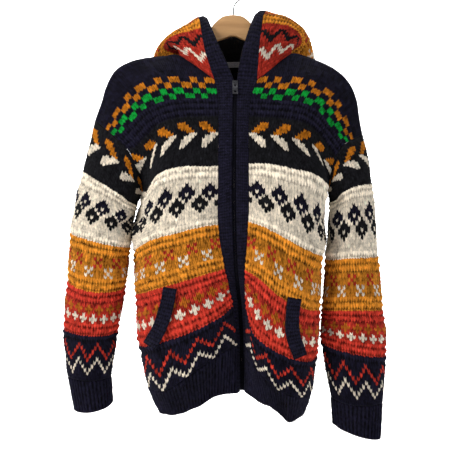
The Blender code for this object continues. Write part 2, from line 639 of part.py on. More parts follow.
def zip_pull(look):
    """The pull tab: its top bar lies inside the slider's bridge, and a plate with a round hole hangs below
    the window that the bridge passes through."""
    thick, bar = PULL_WALL / 2, PULL_BAR / 2
    thin = thick - 0.1
    arm = PULL_WINDOW / 2 + PULL_BAR
    tab = box("zip_pull", (-arm, -thin, -PULL_NECK - 0.5), (arm, thin, bar), look)
    window_low = (-PULL_WINDOW / 2, -3, -PULL_NECK + PULL_BAR)
    combine(tab, box("pull_window", window_low, (PULL_WINDOW / 2, 3, -bar), look), "DIFFERENCE")
    plate = box("pull_plate", (-PULL_WIDTH / 2, -thick, -PULL_LENGTH), (PULL_WIDTH / 2, thick, -PULL_NECK), look)
    combine(tab, plate, "UNION")
    sides = 10
    round_points = []
    for y in (-3, 3):
        for side in range(sides):
            turn = 2 * math.pi * side / sides
            x, z = PULL_HOLE * math.cos(turn), PULL_HOLE * math.sin(turn) - PULL_LENGTH + 4.6
            round_points.append((x, y, z))
    faces = [tuple(range(sides)), tuple(range(sides, 2 * sides))]
    faces += [(i, (i + 1) % sides, (i + 1) % sides + sides, i + sides) for i in range(sides)]
    combine(tab, new_object("pull_hole", round_points, faces, look), "DIFFERENCE")
    return tab


def set_on_zip(names, origin, slope):
    """Turns pieces modelled at the origin by the zip's slope and moves them to their place."""
    cos, sin = math.cos(slope), math.sin(slope)
    for made in bpy.data.objects:
        if made.name.startswith(names):
            for vertex in made.data.vertices:
                x, y, z = vertex.co
                down = y * cos + z * sin
                vertex.co = (x + origin[0] * MM, down + origin[1] * MM, z * cos - y * sin + origin[2] * MM)


def main():
    for old in list(bpy.data.objects):
        bpy.data.objects.remove(old, do_unlink=True)

    half = list(BACK_HALF_COLUMNS)
    back_columns = half + [0.5] + [1 - share for share in reversed(half)]
    knit = {name: material(name, NAVY) for name in ("front_left", "front_right", "sleeve_left", "sleeve_right")}

    fronts, sleeves, hoods = {}, {}, {}
    for side, table in (("left", FRONT_LEFT), ("right", FRONT_RIGHT)):
        fronts[side] = front_panel(side, table, knit["front_" + side])
    back, back_out = back_panel(back_columns, fronts["left"][0], fronts["right"][0])
    for side, table in (("left", SLEEVE_LEFT), ("right", SLEEVE_RIGHT)):
        front, front_out, _ = fronts[side]
        sleeves[side] = sleeve_panel(side, table, front, front_out, back, back_out)
    for side, table in (("left", HOOD_LEFT), ("right", HOOD_RIGHT)):
        front, front_out, _ = fronts[side]
        hoods[side] = hood_half(side, table, front, front_out, back, back_out, back_columns)

    pit = PANEL_ROWS.index(ROW_PIT)
    linings = {}
    for side, table in (("left", FRONT_LEFT), ("right", FRONT_RIGHT)):
        turn = 1 if side == "left" else -1
        front, front_out, look = fronts[side]
        sign = -1 if side == "left" else 1
        hood, hood_out, _ = hoods[side]
        fleece = material("hood_lining_" + side, FLEECE)
        zip_row_list = [*panel_rows(FRONT_COLUMNS, NECK_SHARE)[:, 0], ROW_HEM]
        zip_points = smooth([r[1] for r in ZIP_LINE], [r[2] for r in ZIP_LINE], zip_row_list)
        low = cloth(table, [0.0], [ROW_HEM])[0]
        edge = np.concatenate([front[:, 0], low])
        free = zip_points + np.array([sign * BAND_TO_ZIP, 0, 0])
        band = band_grid(edge, free)
        band_out = outward(band, -turn)
        round_band(band, band_out)
        band_out[:, 2, 0] = 0
        band_out = unit(band_out)
        share_seam(front_out[:, 0], band_out[:-1, 0])
        hem_out = outward(cloth(table, FRONT_COLUMNS, [ROW_RIB, ROW_HEM]), turn)[1, 0]
        band_out[-1, 0] = unit(band_out[-1, 0] + 2 * hem_out)
        draw_back(band[:, 0], band[:, 1])
        band_top = band[0].copy()

        rim_free = smooth(
            [0] + [r[1] for r in HOOD_RIM],
            [band_top[2]] + [r[2 if side == "left" else 3] for r in HOOD_RIM],
            HOOD_ROWS,
        )
        rim = band_grid(hood[:, 0].copy(), rim_free)
        rim[0] = band_top
        rim[0, 0] = hood[0, 0]
        rim_out = outward(rim, turn)
        round_band(rim, rim_out)
        rim[0, 1] = band_top[1]
        rim_out[-1, :, 0] = 0
        rim_out = unit(rim_out)
        rim[-1, :, 0] = sign * SEAM_GAP
        rim_out[0] = unit(rim_out[0] + band_out[0])
        band_out[0] = rim_out[0]
        share_seam(hood_out[:, 0], rim_out[:, 0])
        draw_back(rim[:, 0], rim[:, 1])
        draw_back(hood[1:, 0], hood[1:, 1])
        draw_back(rim[0], rim[1], SEAM_GAP)
        draw_back(front[:, 0], front[:, 1])

        edge_place = band[:, 2] * (1 - TAPE_SHARE) + band[:, 1] * TAPE_SHARE
        edge_way = band_out[:, 2] * (1 - TAPE_SHARE) + band_out[:, 1] * TAPE_SHARE
        inner_place = zip_points + np.array([sign * SEAM_GAP, 0, 0])
        places = np.stack([edge_place, band[:, 2], inner_place], axis=1)
        ways = np.stack([edge_way, band_out[:, 2], np.tile([0.0, -1.0, 0.0], (len(edge), 1))], axis=1)
        tape, tape_in = places - TAPE_DEEP * ways, places - (TAPE_DEEP + TAPE_WALL) * ways
        for layer in (tape, tape_in):
            draw_back(layer[0], layer[1], 3)
        wall("zip_tape_" + side, tape, tape_in, material("zip_tape_" + side, NAVY))
        knit_wall("front_band_" + side, band, band_out, material("front_band_" + side, NAVY))
        knit_wall("hood_rim_" + side, rim, rim_out, material("hood_rim_" + side, NAVY))
        knit_wall("hood_" + side, hood, hood_out, material("hood_" + side, RED))
        lining_out = hood - (KNIT_WALL + LINING_GAP) * hood_out
        lining_in = lining_out - FLEECE_WALL * hood_out
        draw_back(lining_out[0], lining_out[1], 2)
        draw_back(lining_in[0], lining_in[1], 2)
        stand = HOOD_ROWS.index(LINING_TOP_ROW) + 1
        wall("hood_lining_" + side, lining_out[:stand], lining_in[:stand], fleece)
        linings[side] = lining_in

        last = front[-1].copy()
        draw_back(front[-1], front[-2])
        draw_back(front[1:pit, -1], front[1:pit, -2])
        pocket_welt(side, front, front_out)
        knit_wall("front_" + side, front, front_out, look)

        def low_line(at, table=table, turn=turn):
            line = cloth(table, at, [ROW_RIB, ROW_HEM])[1]
            line[-1, 1] = -SEAM_GAP / 2
            return line

        def low_out(at, table=table, turn=turn):
            out = outward(cloth(table, at, [ROW_RIB, ROW_HEM]), turn)[1]
            out[-1, 1] = 0
            out[0] = band_out[-1, 0]
            return unit(out)

        ribs = round(HALF_CHEST / RIB_PITCH)
        ribbed(
            "hem_front_" + side, last, front_out[-1], FRONT_COLUMNS, low_line, low_out, ribs,
            material("hem_front_" + side, NAVY),
        )

    zip_rows = [*PANEL_ROWS, ROW_HEM - 0.4]
    zip_rows[:4] = (NECK_ROW + 0.2, 10, 12.5, ROW_RIDGES)
    middle = smooth([r[1] for r in ZIP_LINE], [r[2] for r in ZIP_LINE], zip_rows)
    across = np.array([CHAIN_WIDTH / 2, 0, 0])
    chain = np.stack([middle - across, middle + across], axis=1)
    chain[:, :, 1] += CHAIN_BACK - CHAIN_WALL
    wall("zip_chain", chain, chain + np.array([0, CHAIN_WALL, 0]), material("zip_chain", METAL, 0.4, 1.0))

    label_out, label_in = [], []
    for down in LABEL_ROWS:
        left, middle, right = (
            np.array(linings[side][0][column]) * (1 - down) + np.array(linings[side][1][column]) * down
            for side, column in (("left", -2), ("left", -1), ("right", -2))
        )
        way = unit(np.cross(right - left, linings["left"][1][-1] - linings["left"][0][-1]))
        if way[1] < 0:
            way = -way
        middle[0] = 0
        ends = middle + (left - middle) * LABEL_SHARE, middle, middle + (right - middle) * LABEL_SHARE
        label_out.append([p - LABEL_GAP * way for p in ends])
        label_in.append([p - (LABEL_GAP + LABEL_WALL) * way for p in ends])
    wall("neck_label", np.array(label_out), np.array(label_in), material("neck_label", LABEL_GREY))

    last = back[-1].copy()
    draw_back(back[-1], back[-2])
    draw_back(back[1:pit, 0], back[1:pit, 1])
    draw_back(back[1:pit, -1], back[1:pit, -2])
    knit_wall("back", back, back_out, material("back", NAVY))

    def back_line(at):
        line = cloth(BACK, at, [ROW_RIB, ROW_HEM])[1]
        line[[0, -1], 1] = SEAM_GAP / 2
        return line

    def back_low_out(at):
        out = outward(cloth(BACK, at, [ROW_RIB, ROW_HEM]), 1)[1]
        out[[0, -1], 1] = 0
        return unit(out)

    ribbed(
        "hem_back", last, back_out[-1], back_columns, back_line,
        back_low_out, round(2 * HALF_CHEST / RIB_PITCH), material("hem_back", NAVY),
    )

    for side, table in (("left", SLEEVE_LEFT), ("right", SLEEVE_RIGHT)):
        turn = 1 if side == "left" else -1
        grid, out, shares = sleeves[side]
        last, last_out = grid[-1].copy(), out[-1].copy()
        draw_back(grid[-1], grid[-2])
        knit_wall("sleeve_" + side, grid, out, knit["sleeve_" + side], ring=True)
        closed = np.concatenate([shares, [1.0]])
        ring_top = np.concatenate([last, last[:1]])
        ring_out = np.concatenate([last_out, last_out[:1]])

        def cuff_line(at, table=table):
            return ring_points(table[-1][2:], at)

        def cuff_out(at, table=table, turn=turn):
            rings = np.stack([ring_points(row[2:], at) for row in table[-2:]])
            return outward(rings, turn, ring=True)[1]

        ribbed(
            "cuff_" + side, ring_top, ring_out, closed, cuff_line, cuff_out, CUFF_RIBS,
            material("cuff_" + side, NAVY), ring=True,
        )

    hanger_body(material("hanger_body", WOOD, 0.45))
    hanger_hook(material("hanger_hook", METAL, 0.35, 1.0))
    zip_slider(material("zip_slider", METAL, 0.4, 1.0))
    zip_pull(material("zip_pull", METAL, 0.4, 1.0))
    set_on_zip(("zip_slider", "slider", "bridge"), SLIDER_PLACE, ZIP_SLOPE)
    x, y, z = SLIDER_PLACE
    out, rise = PULL_PIVOT_OUT * math.cos(ZIP_SLOPE), PULL_PIVOT_OUT * math.sin(ZIP_SLOPE)
    set_on_zip(("zip_pull", "pull"), (x, y - out, z + rise), ZIP_SLOPE)


main()
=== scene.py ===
"""Looks for a hooded, zipped jacket of thick hand knit wool on a wooden coat hanger.

Lengths are worked out in millimetres and the meshes are made in metres, +Z up, the front facing -Y. The
panels are the same tables of sections as the garment's solids. Each panel's surface is then knitted: every
stitch is a small lattice of points, raised along the cloth's outward direction, and a chart gives its yarn.
Left and right are as seen from the front.
"""

import math

import bmesh
import bpy
import numpy as np
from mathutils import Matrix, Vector
from mathutils.bvhtree import BVHTree


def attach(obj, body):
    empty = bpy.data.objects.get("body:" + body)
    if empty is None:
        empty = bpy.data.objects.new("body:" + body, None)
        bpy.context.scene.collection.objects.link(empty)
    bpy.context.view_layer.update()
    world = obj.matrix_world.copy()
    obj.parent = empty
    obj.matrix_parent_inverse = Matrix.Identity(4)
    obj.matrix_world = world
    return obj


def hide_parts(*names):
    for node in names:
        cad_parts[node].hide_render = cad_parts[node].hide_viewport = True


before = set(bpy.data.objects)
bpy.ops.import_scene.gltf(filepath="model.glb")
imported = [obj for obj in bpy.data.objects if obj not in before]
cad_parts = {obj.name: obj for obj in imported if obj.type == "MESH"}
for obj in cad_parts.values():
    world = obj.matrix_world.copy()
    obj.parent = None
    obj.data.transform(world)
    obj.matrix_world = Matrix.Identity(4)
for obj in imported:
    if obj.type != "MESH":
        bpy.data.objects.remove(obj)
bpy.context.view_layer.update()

MM = 0.001

# The photograph's view: level, from the front, with its width at the jacket's middle plane
VIEW_CENTRE_X = -16.8
VIEW_CENTRE_Z = -452.5
VIEW_DISTANCE = 2600.0
VIEW_WIDTH = 841.5
SENSOR_WIDTH = 36.0

# Driving sizes, in millimetres, and counts
KNIT_WALL = 5.0
SEAM_GAP = 0.3
RIB_PITCH = 7.0
HALF_CHEST = 252.0
CUFF_RIBS = 34
BAND_RAISE = 2.0
WELT_WIDTH = 24.0
WELT_WALL = 4.0
HOOD_RELAX = 1
CHAIN_WALL = 3.2
CHAIN_BACK = 5.5
BAND_TO_ZIP = 3.4
HANGER_TILT = math.radians(1.25)
# Points that a smooth line is measured by
FINE_POINTS = 241

# Knitted rows, counted down from the shoulder, and how far across a front and the back the neckline reaches
ROW_RIDGES = 15
ROW_PIT = 38
ROW_RIB = 97
ROW_HEM = 111
NECK_ROW = 8.2
NECK_SHARE = 0.21
BACK_NECK_SHARE = 0.333

# Where the grids have their columns and rows
FRONT_COLUMNS = (0, 0.052, 0.105, 0.157, NECK_SHARE, 0.32, 0.43, 0.54, 0.65, 0.76, 0.88, 1)
BACK_HALF_COLUMNS = (0, 0.05, 0.10, 0.15, 0.20, 0.25, 0.295, BACK_NECK_SHARE, 0.37, 0.41, 0.455)
PANEL_ROWS = (0, 5, 10, ROW_RIDGES, 20, 25, 30, 34, ROW_PIT, 44, 51, 58, 65, 72, 79, 86, 92, ROW_RIB)
SLEEVE_ROWS = (0, 6, 12, 17, 24, 31, 37, 44, 51, 58, 65, 72, 78)
HOOD_ROWS = (0, 4, 8, 13, 19, 25, 32, 38, 45, 51, 56)

# Sections of the fronts: name, row, front edge, crest, middle, fold, flank, side
FRONT_LEFT = (
    ("shoulder", 0, (-44, -20, -141), (-66, -12, -138), (-95, 0, -136), (-170, 0, -141), (-218, 0, -161),
     (-260, 0, -258)),
    ("fleck", 7, (-37, -62, -182), (-57, -57, -180), (-96, -50, -179), (-158, -44, -184),
     (-203, -36, -213), (-238, -32, -275)),
    ("ridges", 15, (-30, -78, -222), (-62, -75, -222), (-106, -70, -222), (-163, -62, -239),
     (-193, -52, -267), (-217, -48, -293)),
    ("black", 21, (-29, -86, -254), (-62, -86, -254), (-106, -82, -257), (-150, -72, -274),
     (-170, -58, -299), (-195, -52, -315)),
    ("leaf", 30, (-29, -92, -299), (-62, -95, -299), (-100, -93, -303), (-138, -80, -317),
     (-160, -56, -341), (-179, -42, -348)),
    ("white", 38, (-29, -95, -345), (-62, -100, -346), (-98, -100, -347), (-138, -87, -360),
     (-156, -48, -392), (-166, 0, -385)),
    ("diamond", 44, (-29, -96, -380), (-62, -102, -381), (-98, -103, -384), (-143, -86, -400),
     (-168, -44, -425), (-175, 0, -432)),
    ("gold", 58, (-29, -93, -451), (-55, -102, -454), (-98, -105, -465), (-152, -86, -480),
     (-179, -44, -498), (-187, 0, -505)),
    ("red", 72, (-17, -84, -531), (-40, -98, -537), (-94, -106, -553), (-158, -84, -572),
     (-179, -42, -579), (-183, 0, -582)),
    ("navy", 86, (-2, -70, -598), (-22, -93, -615), (-76, -107, -643), (-145, -84, -668),
     (-171, -42, -675), (-177, 0, -675)),
    ("rib", 97, (5, -60, -672), (-15, -86, -679), (-62, -104, -709), (-129, -84, -753), (-155, -42, -754),
     (-160, 0, -750)),
    ("hem", 111, (4, -46, -762), (-30, -58, -765), (-66, -62, -785), (-114, -52, -801), (-137, -26, -797),
     (-148, 0, -783)),
)
FRONT_RIGHT = (
    ("shoulder", 0, (52, -20, -141), (70, -12, -137), (93, 0, -132), (151, 0, -143), (209, 0, -178),
     (241, 0, -283)),
    ("fleck", 7, (44, -62, -182), (60, -57, -180), (95, -50, -179), (152, -44, -188), (192, -36, -216),
     (221, -32, -294)),
    ("ridges", 15, (30, -78, -222), (54, -76, -223), (98, -71, -225), (147, -63, -235), (174, -52, -267),
     (204, -46, -304)),
    ("black", 21, (27, -86, -254), (52, -86, -255), (99, -82, -259), (145, -73, -273), (170, -57, -303),
     (187, -49, -326)),
    ("leaf", 30, (26, -92, -299), (53, -95, -301), (100, -93, -308), (146, -80, -322), (168, -54, -346),
     (178, -40, -355)),
    ("white", 38, (26, -95, -341), (53, -100, -341), (96, -100, -348), (146, -87, -360), (170, -48, -377),
     (174, 0, -382)),
    ("diamond", 44, (26, -96, -375), (53, -102, -379), (98, -103, -391), (146, -86, -413),
     (167, -42, -429), (166, 0, -432)),
    ("gold", 58, (25, -93, -445), (46, -102, -452), (93, -105, -476), (139, -86, -501), (159, -42, -510),
     (158, 0, -512)),
    ("red", 72, (19, -84, -532), (39, -98, -544), (84, -106, -582), (133, -84, -605), (152, -42, -609),
     (152, 0, -610)),
    ("navy", 86, (21, -68, -600), (37, -92, -651), (84, -107, -684), (127, -84, -699), (147, -42, -697),
     (150, 0, -692)),
    ("rib", 97, (22, -58, -672), (39, -84, -711), (75, -103, -747), (117, -84, -764), (137, -42, -762),
     (145, 0, -757)),
    ("hem", 111, (26, -46, -763), (44, -56, -775), (74, -62, -790), (100, -52, -814), (128, -26, -801),
     (138, 0, -782)),
)
# Sections of the back: name, row, left side, flank, fold, middle, centre, middle, fold, flank, right side
BACK = (
    ("shoulder", 0, (-260, 0, -258), (-218, 0, -161), (-170, 0, -141), (-100, 0, -136), (-86, 20, -147),
     (-50, 35, -159), (0, 40, -164), (50, 35, -158), (83, 20, -143), (97, 0, -132), (151, 0, -143),
     (209, 0, -178), (241, 0, -283)),
    ("fleck", 7, (-242, 32, -272), (-207, 36, -208), (-162, 44, -178), (-89, 56, -170), (0, 66, -190),
     (90, 56, -170), (156, 44, -183), (196, 36, -212), (226, 32, -291)),
    ("ridges", 15, (-222, 48, -289), (-198, 52, -262), (-166, 63, -230), (-90, 80, -210), (0, 88, -217),
     (91, 80, -212), (150, 63, -228), (180, 52, -262), (210, 46, -300)),
    ("black", 21, (-201, 52, -311), (-176, 58, -294), (-151, 74, -266), (-85, 92, -245), (0, 99, -245),
     (86, 92, -245), (149, 74, -265), (176, 57, -298), (193, 49, -323)),
    ("leaf", 30, (-183, 42, -346), (-165, 56, -338), (-140, 82, -310), (-81, 101, -293), (0, 107, -291),
     (82, 101, -295), (148, 82, -316), (174, 54, -344), (182, 40, -354)),
    ("white", 38, (-166, 0, -385), (-160, 48, -387), (-141, 89, -360), (-79, 105, -342), (0, 110, -340),
     (80, 105, -342), (148, 89, -360), (173, 48, -379), (174, 0, -382)),
    ("diamond", 44, (-175, 0, -432), (-172, 46, -425), (-148, 90, -398), (-81, 107, -382), (0, 113, -380),
     (82, 107, -386), (149, 90, -414), (168, 46, -429), (166, 0, -432)),
    ("gold", 58, (-187, 0, -505), (-181, 46, -501), (-156, 90, -484), (-85, 109, -471), (0, 115, -467),
     (86, 109, -477), (143, 90, -504), (158, 46, -511), (158, 0, -512)),
    ("red", 72, (-183, 0, -582), (-180, 46, -584), (-160, 88, -577), (-85, 108, -565), (0, 113, -561),
     (86, 108, -576), (137, 88, -606), (152, 46, -610), (152, 0, -610)),
    ("navy", 86, (-177, 0, -675), (-174, 46, -678), (-150, 86, -672), (-79, 105, -652), (0, 109, -646),
     (82, 105, -667), (130, 86, -697), (148, 46, -699), (150, 0, -692)),
    ("rib", 97, (-160, 0, -750), (-157, 42, -757), (-132, 80, -756), (-71, 98, -737), (0, 103, -731),
     (78, 98, -745), (120, 80, -766), (138, 42, -765), (145, 0, -757)),
    ("hem", 111, (-148, 0, -783), (-140, 28, -795), (-114, 58, -795), (-61, 72, -781), (0, 77, -770),
     (66, 72, -781), (107, 58, -802), (129, 28, -797), (138, 0, -782)),
)
# Rings of the sleeves below the armhole: name, row, inner side, front, outer side, back
SLEEVE_LEFT = (
    ("white", 17, (-181, 0, -415), (-223, -58, -387), (-282, 0, -352), (-233, 58, -380)),
    ("gold", 37, (-194, 0, -492), (-244, -58, -485), (-306, 0, -466), (-254, 58, -477)),
    ("red", 51, (-202, 0, -565), (-255, -54, -575), (-310, 0, -555), (-261, 54, -557)),
    ("navy", 65, (-217, 0, -649), (-259, -49, -656), (-318, 0, -645), (-272, 49, -643)),
    ("rib", 78, (-230, 0, -733), (-265, -40, -740), (-309, 0, -735), (-273, 40, -735)),
    ("grip", 82, (-234, 0, -757), (-264, -33, -765), (-301, 0, -759), (-271, 33, -757)),
    ("cuff", 90, (-227, 0, -783), (-259, -34, -798), (-297, 0, -797), (-265, 34, -784)),
)
SLEEVE_RIGHT = (
    ("white", 17, (179, 8, -411), (213, -46, -385), (259, 4, -376), (223, 62, -389)),
    ("gold", 37, (172, 14, -515), (215, -44, -513), (270, 8, -509), (225, 68, -504)),
    ("red", 51, (166, 14, -610), (217, -44, -609), (280, 8, -610), (227, 64, -602)),
    ("navy", 65, (164, 10, -668), (213, -42, -688), (285, 6, -696), (226, 54, -676)),
    ("rib", 78, (182, 4, -773), (221, -34, -785), (277, 2, -784), (232, 40, -775)),
    ("grip", 82, (185, 2, -795), (225, -29, -804), (273, 0, -806), (235, 32, -795)),
    ("cuff", 90, (185, 0, -821), (226, -28, -843), (273, 0, -851), (235, 28, -832)),
)
# Sections of the hood above the neck seam: name, row, rim, front, side, back, nape
HOOD_LEFT = (
    ("stand", 8, (-52, -58, -140), (-92, -24, -124), (-122, 18, -114), (-82, 46, -106), (0, 58, -97)),
    ("lobe", 19, (-65, -8, -67), (-110, 24, -80), (-150, 62, -119), (-98, 86, -148), (0, 88, -162)),
    ("fall", 32, (-70, 66, -84), (-124, 98, -115), (-176, 112, -180), (-116, 110, -224), (0, 112, -242)),
    ("bag", 45, (-42, 118, -128), (-93, 146, -165), (-148, 142, -232), (-85, 126, -284), (0, 122, -305)),
    ("crown", 56, (0, 142, -153), (0, 168, -207), (0, 172, -262), (0, 158, -310), (0, 134, -338)),
)
HOOD_RIGHT = (
    ("stand", 8, (46, -56, -132), (86, -24, -118), (120, 18, -114), (82, 46, -106), (0, 58, -97)),
    ("lobe", 19, (56, -6, -57), (105, 24, -58), (144, 61, -98), (96, 86, -146), (0, 88, -162)),
    ("fall", 32, (72, 66, -62), (128, 98, -86), (163, 112, -176), (112, 110, -223), (0, 112, -242)),
    ("bag", 45, (42, 118, -124), (90, 146, -165), (140, 142, -232), (82, 126, -284), (0, 122, -305)),
    ("crown", 56, (0, 142, -153), (0, 168, -207), (0, 172, -262), (0, 158, -310), (0, 134, -338)),
)
# Free edges of the navy bands on the hood's rim: name, row, left edge, right edge
HOOD_RIM = (
    ("stand", 8, (-24, -68, -134), (16, -66, -130)),
    ("lobe", 19, (-50, 16, -64), (40, 18, -54)),
    ("fall", 32, (-46, 76, -98), (48, 76, -84)),
    ("bag", 45, (-24, 104, -146), (24, 104, -144)),
    ("crown", 56, (-2, 124, -172), (2, 124, -172)),
)
# Centre line of the zip: name, row, point
ZIP_LINE = (
    ("neck", 8.2, (2, -74, -187)),
    ("ridges", 15, (1, -83, -222)),
    ("leaf", 30, (0, -95, -299)),
    ("gold", 58, (0, -94, -448)),
    ("red", 72, (3, -81, -531)),
    ("navy", 86, (10, -56, -598)),
    ("rib", 97, (14, -42, -672)),
    ("hem", 111, (15, -30, -758)),
)
# Middle lines of the pocket welts, from the top down: name, left x and z, right x and z
POCKET_LINE = (
    ("top", (-114, -562), (108, -580)),
    ("upper", (-121, -600), (104, -606)),
    ("lower", (-134, -640), (103, -645)),
    ("foot", (-151, -671), (117, -690)),
)
# Outline of the hanger's arm before it tilts: distance out, middle's y, top, foot, thickness
HANGER_ARM = (
    ("centre", 0, 0, -60, -101, 14),
    ("block", 14, 0, -63, -107, 14),
    ("shoulder", 34, -1, -82, -114, 14),
    ("neck", 55, -4, -119, -146, 12),
    ("bend", 72, -4, -148, -172, 11),
    ("arm", 98, -3, -150, -172, 11),
    ("middle arm", 130, -3, -152, -173, 12),
    ("outer arm", 162, -3, -156, -175, 12),
    ("drop", 186, -3, -167, -183, 11),
    ("end", 200, -3, -179, -191, 8),
)


def smooth(knots, values, at):
    """The smooth curve through the values at the knots, read at each place in at."""
    knots = np.asarray(knots, float)
    values = np.asarray(values, float)
    at = np.asarray(at, float)
    steps = np.diff(knots)
    slopes = np.diff(values, axis=0) / steps[:, None]
    tangents = np.empty_like(values)
    tangents[0], tangents[-1] = slopes[0], slopes[-1]
    weight = (steps[1:] / (steps[1:] + steps[:-1]))[:, None]
    tangents[1:-1] = slopes[:-1] * weight + slopes[1:] * (1 - weight)
    span = np.clip(np.searchsorted(knots, at, side="right") - 1, 0, len(steps) - 1)
    t = ((at - knots[span]) / steps[span])[:, None]
    length = steps[span][:, None]
    start = values[span] * (1 + 2 * t) * (1 - t) ** 2 + tangents[span] * length * t * (1 - t) ** 2
    end = values[span + 1] * t**2 * (3 - 2 * t) + tangents[span + 1] * length * t**2 * (t - 1)
    return start + end


def arc_shares(points):
    """How far along its own length each point of a line lies, from 0 to 1."""
    lengths = np.linalg.norm(np.diff(points, axis=0), axis=1)
    run = np.concatenate([[0], np.cumsum(lengths)])
    return run / run[-1]


def even_points(points, shares):
    """Points on the smooth line through the section's points, at these shares of its length."""
    points = np.asarray(points, float)
    fine = smooth(arc_shares(points), points, np.linspace(0, 1, FINE_POINTS))
    run = arc_shares(fine)
    return np.stack([np.interp(shares, run, fine[:, axis]) for axis in range(3)], axis=1)


def ring_points(quarters, shares):
    """Points round a sleeve's ring, which passes its inner, front, outer and back points in turn."""
    inner, front, outer, back = (np.asarray(q, float) for q in quarters)
    turn = np.linspace(0, 2 * math.pi, FINE_POINTS)[:, None]
    middle = (inner + outer) / 2
    ring = middle + np.cos(turn) * (inner - outer) / 2 + np.sin(turn) * (front - back) / 2
    ring = ring + np.sin(turn) ** 2 * ((front + back) / 2 - middle)
    run = arc_shares(ring)
    return np.stack([np.interp(shares, run, ring[:, axis]) for axis in range(3)], axis=1)


def cloth(table, shares, rows, place=even_points, first=None):
    """The grid of points where these rows and shares of a piece lie. rows has one list for all the
    columns, or one for each. first is a ready line of points for row 0."""
    knots = [section[1] for section in table]
    lines = [place(section[2:], shares) for section in table]
    if first is not None:
        knots.insert(0, 0)
        lines.insert(0, first)
    lines = np.array(lines)
    rows = np.asarray(rows, float)
    if rows.ndim == 1:
        rows = np.repeat(rows[:, None], len(shares), axis=1)
    columns = [smooth(knots, lines[:, c], rows[:, c]) for c in range(len(shares))]
    return np.stack(columns, axis=1)


def unit(vectors):
    """The same directions with a length of 1."""
    return vectors / np.linalg.norm(vectors, axis=-1, keepdims=True)


def outward(grid, turn, ring=False):
    """The outward direction at each point of a grid, the mean of the cells round it. turn is 1 or -1, by
    the side that the cloth shows."""
    closed = np.concatenate([grid, grid[:, :1]], axis=1) if ring else grid
    first = closed[1:, 1:] - closed[:-1, :-1]
    second = closed[1:, :-1] - closed[:-1, 1:]
    cells = np.cross(first, second) * turn
    cells = cells / np.maximum(np.linalg.norm(cells, axis=-1, keepdims=True), 1e-9)
    rows, columns = closed.shape[:2]
    total = np.zeros((rows, columns, 3))
    for row in (0, 1):
        for column in (0, 1):
            total[row : rows - 1 + row, column : columns - 1 + column] += cells
    if ring:
        total[:, 0] += total[:, -1]
        total = total[:, :-1]
    return unit(total)


def draw_back(line, inside, by=SEAM_GAP / 2):
    """Moves an edge line of a grid back into its own piece, so that a seam has its gap."""
    line += by * unit(inside - line)


def share_seam(first, second):
    """Gives two edges that are sewn together one direction for their wall."""
    both = unit(first + second)
    first[...] = both
    second[...] = both


def flatten_seam(grid, out, line, axis, side):
    """Keeps an edge on the plane through the origin across this axis, half a seam's gap off it."""
    grid[line][..., axis] = side * SEAM_GAP / 2
    out[line][..., axis] = 0
    out[line] = unit(out[line])


def neckline(share):
    """The row at which a front starts, this share across from its front edge."""
    return NECK_ROW * max(0.0, 1 - share / NECK_SHARE)


def drawn_down(rows, top):
    """The rows of a column that starts at this top row, with those above the ridges drawn closer."""
    rows = np.array(rows, float)
    near = rows < ROW_RIDGES
    rows[near] = top + rows[near] * (ROW_RIDGES - top) / ROW_RIDGES
    return rows


def panel_rows(columns):
    """Rows for each column of a front. Near the neck they start at the neckline and not the shoulder."""
    return np.stack([drawn_down(PANEL_ROWS, neckline(share)) for share in columns], axis=1)


def line_between(line, shares, at):
    """Points on the straight stretches of a line, whose own points lie at these shares."""
    return np.stack([np.interp(at, shares, line[:, axis]) for axis in range(3)], axis=1)


def front_panel(side, table):
    """One front from the neck and shoulder to the top of the ribbed hem."""
    turn = 1 if side == "left" else -1
    grid = cloth(table, FRONT_COLUMNS, panel_rows(FRONT_COLUMNS))
    out = outward(grid, turn)
    pit = PANEL_ROWS.index(ROW_PIT)
    neck = FRONT_COLUMNS.index(NECK_SHARE)
    flatten_seam(grid, out, np.s_[0, neck:], 1, -1)
    flatten_seam(grid, out, np.s_[pit:, -1], 1, -1)
    return grid, out


def back_panel(columns, left_front, right_front):
    """The back, whose shoulder seams take the points of the fronts' shoulders."""
    grid = cloth(BACK, columns, PANEL_ROWS)
    grid[:, len(columns) // 2, 0] = 0
    shoulder = columns.index(BACK_NECK_SHARE) + 1
    grid[0, :shoulder] = left_front[0, : -shoulder - 1 : -1]
    grid[0, -shoulder:] = right_front[0, -shoulder:]
    out = outward(grid, 1)
    pit = PANEL_ROWS.index(ROW_PIT)
    left, right = columns.index(BACK_NECK_SHARE), len(columns) - 1 - columns.index(BACK_NECK_SHARE)
    flatten_seam(grid, out, np.s_[0, : left + 1], 1, 1)
    flatten_seam(grid, out, np.s_[0, right:], 1, 1)
    flatten_seam(grid, out, np.s_[pit:, 0], 1, 1)
    flatten_seam(grid, out, np.s_[pit:, -1], 1, 1)
    return grid, out


def sleeve_panel(side, table, front, front_out, back, back_out):
    """A sleeve whose first ring is the armhole: up the front's edge from the pit, down the back's."""
    turn = 1 if side == "left" else -1
    pit = PANEL_ROWS.index(ROW_PIT)
    edge = 0 if side == "left" else -1
    up, down = np.s_[pit:0:-1, -1], np.s_[0:pit, edge]
    hole = np.concatenate([front[up], back[down]])
    shares = arc_shares(np.concatenate([hole, hole[:1]]))[:-1]
    grid = cloth(table, shares, SLEEVE_ROWS, ring_points, first=hole)
    out = outward(grid, turn, ring=True)
    seam = unit(np.concatenate([front_out[up], back_out[down]]) + out[0])
    seam[[0, pit], 1] = 0
    seam = unit(seam)
    out[0] = seam
    front_out[up] = seam[:pit]
    back_out[down] = seam[pit:]
    front_out[0, -1] = seam[pit]
    back_out[pit, edge] = seam[0]
    draw_back(grid[0], grid[1])
    return grid, out, shares


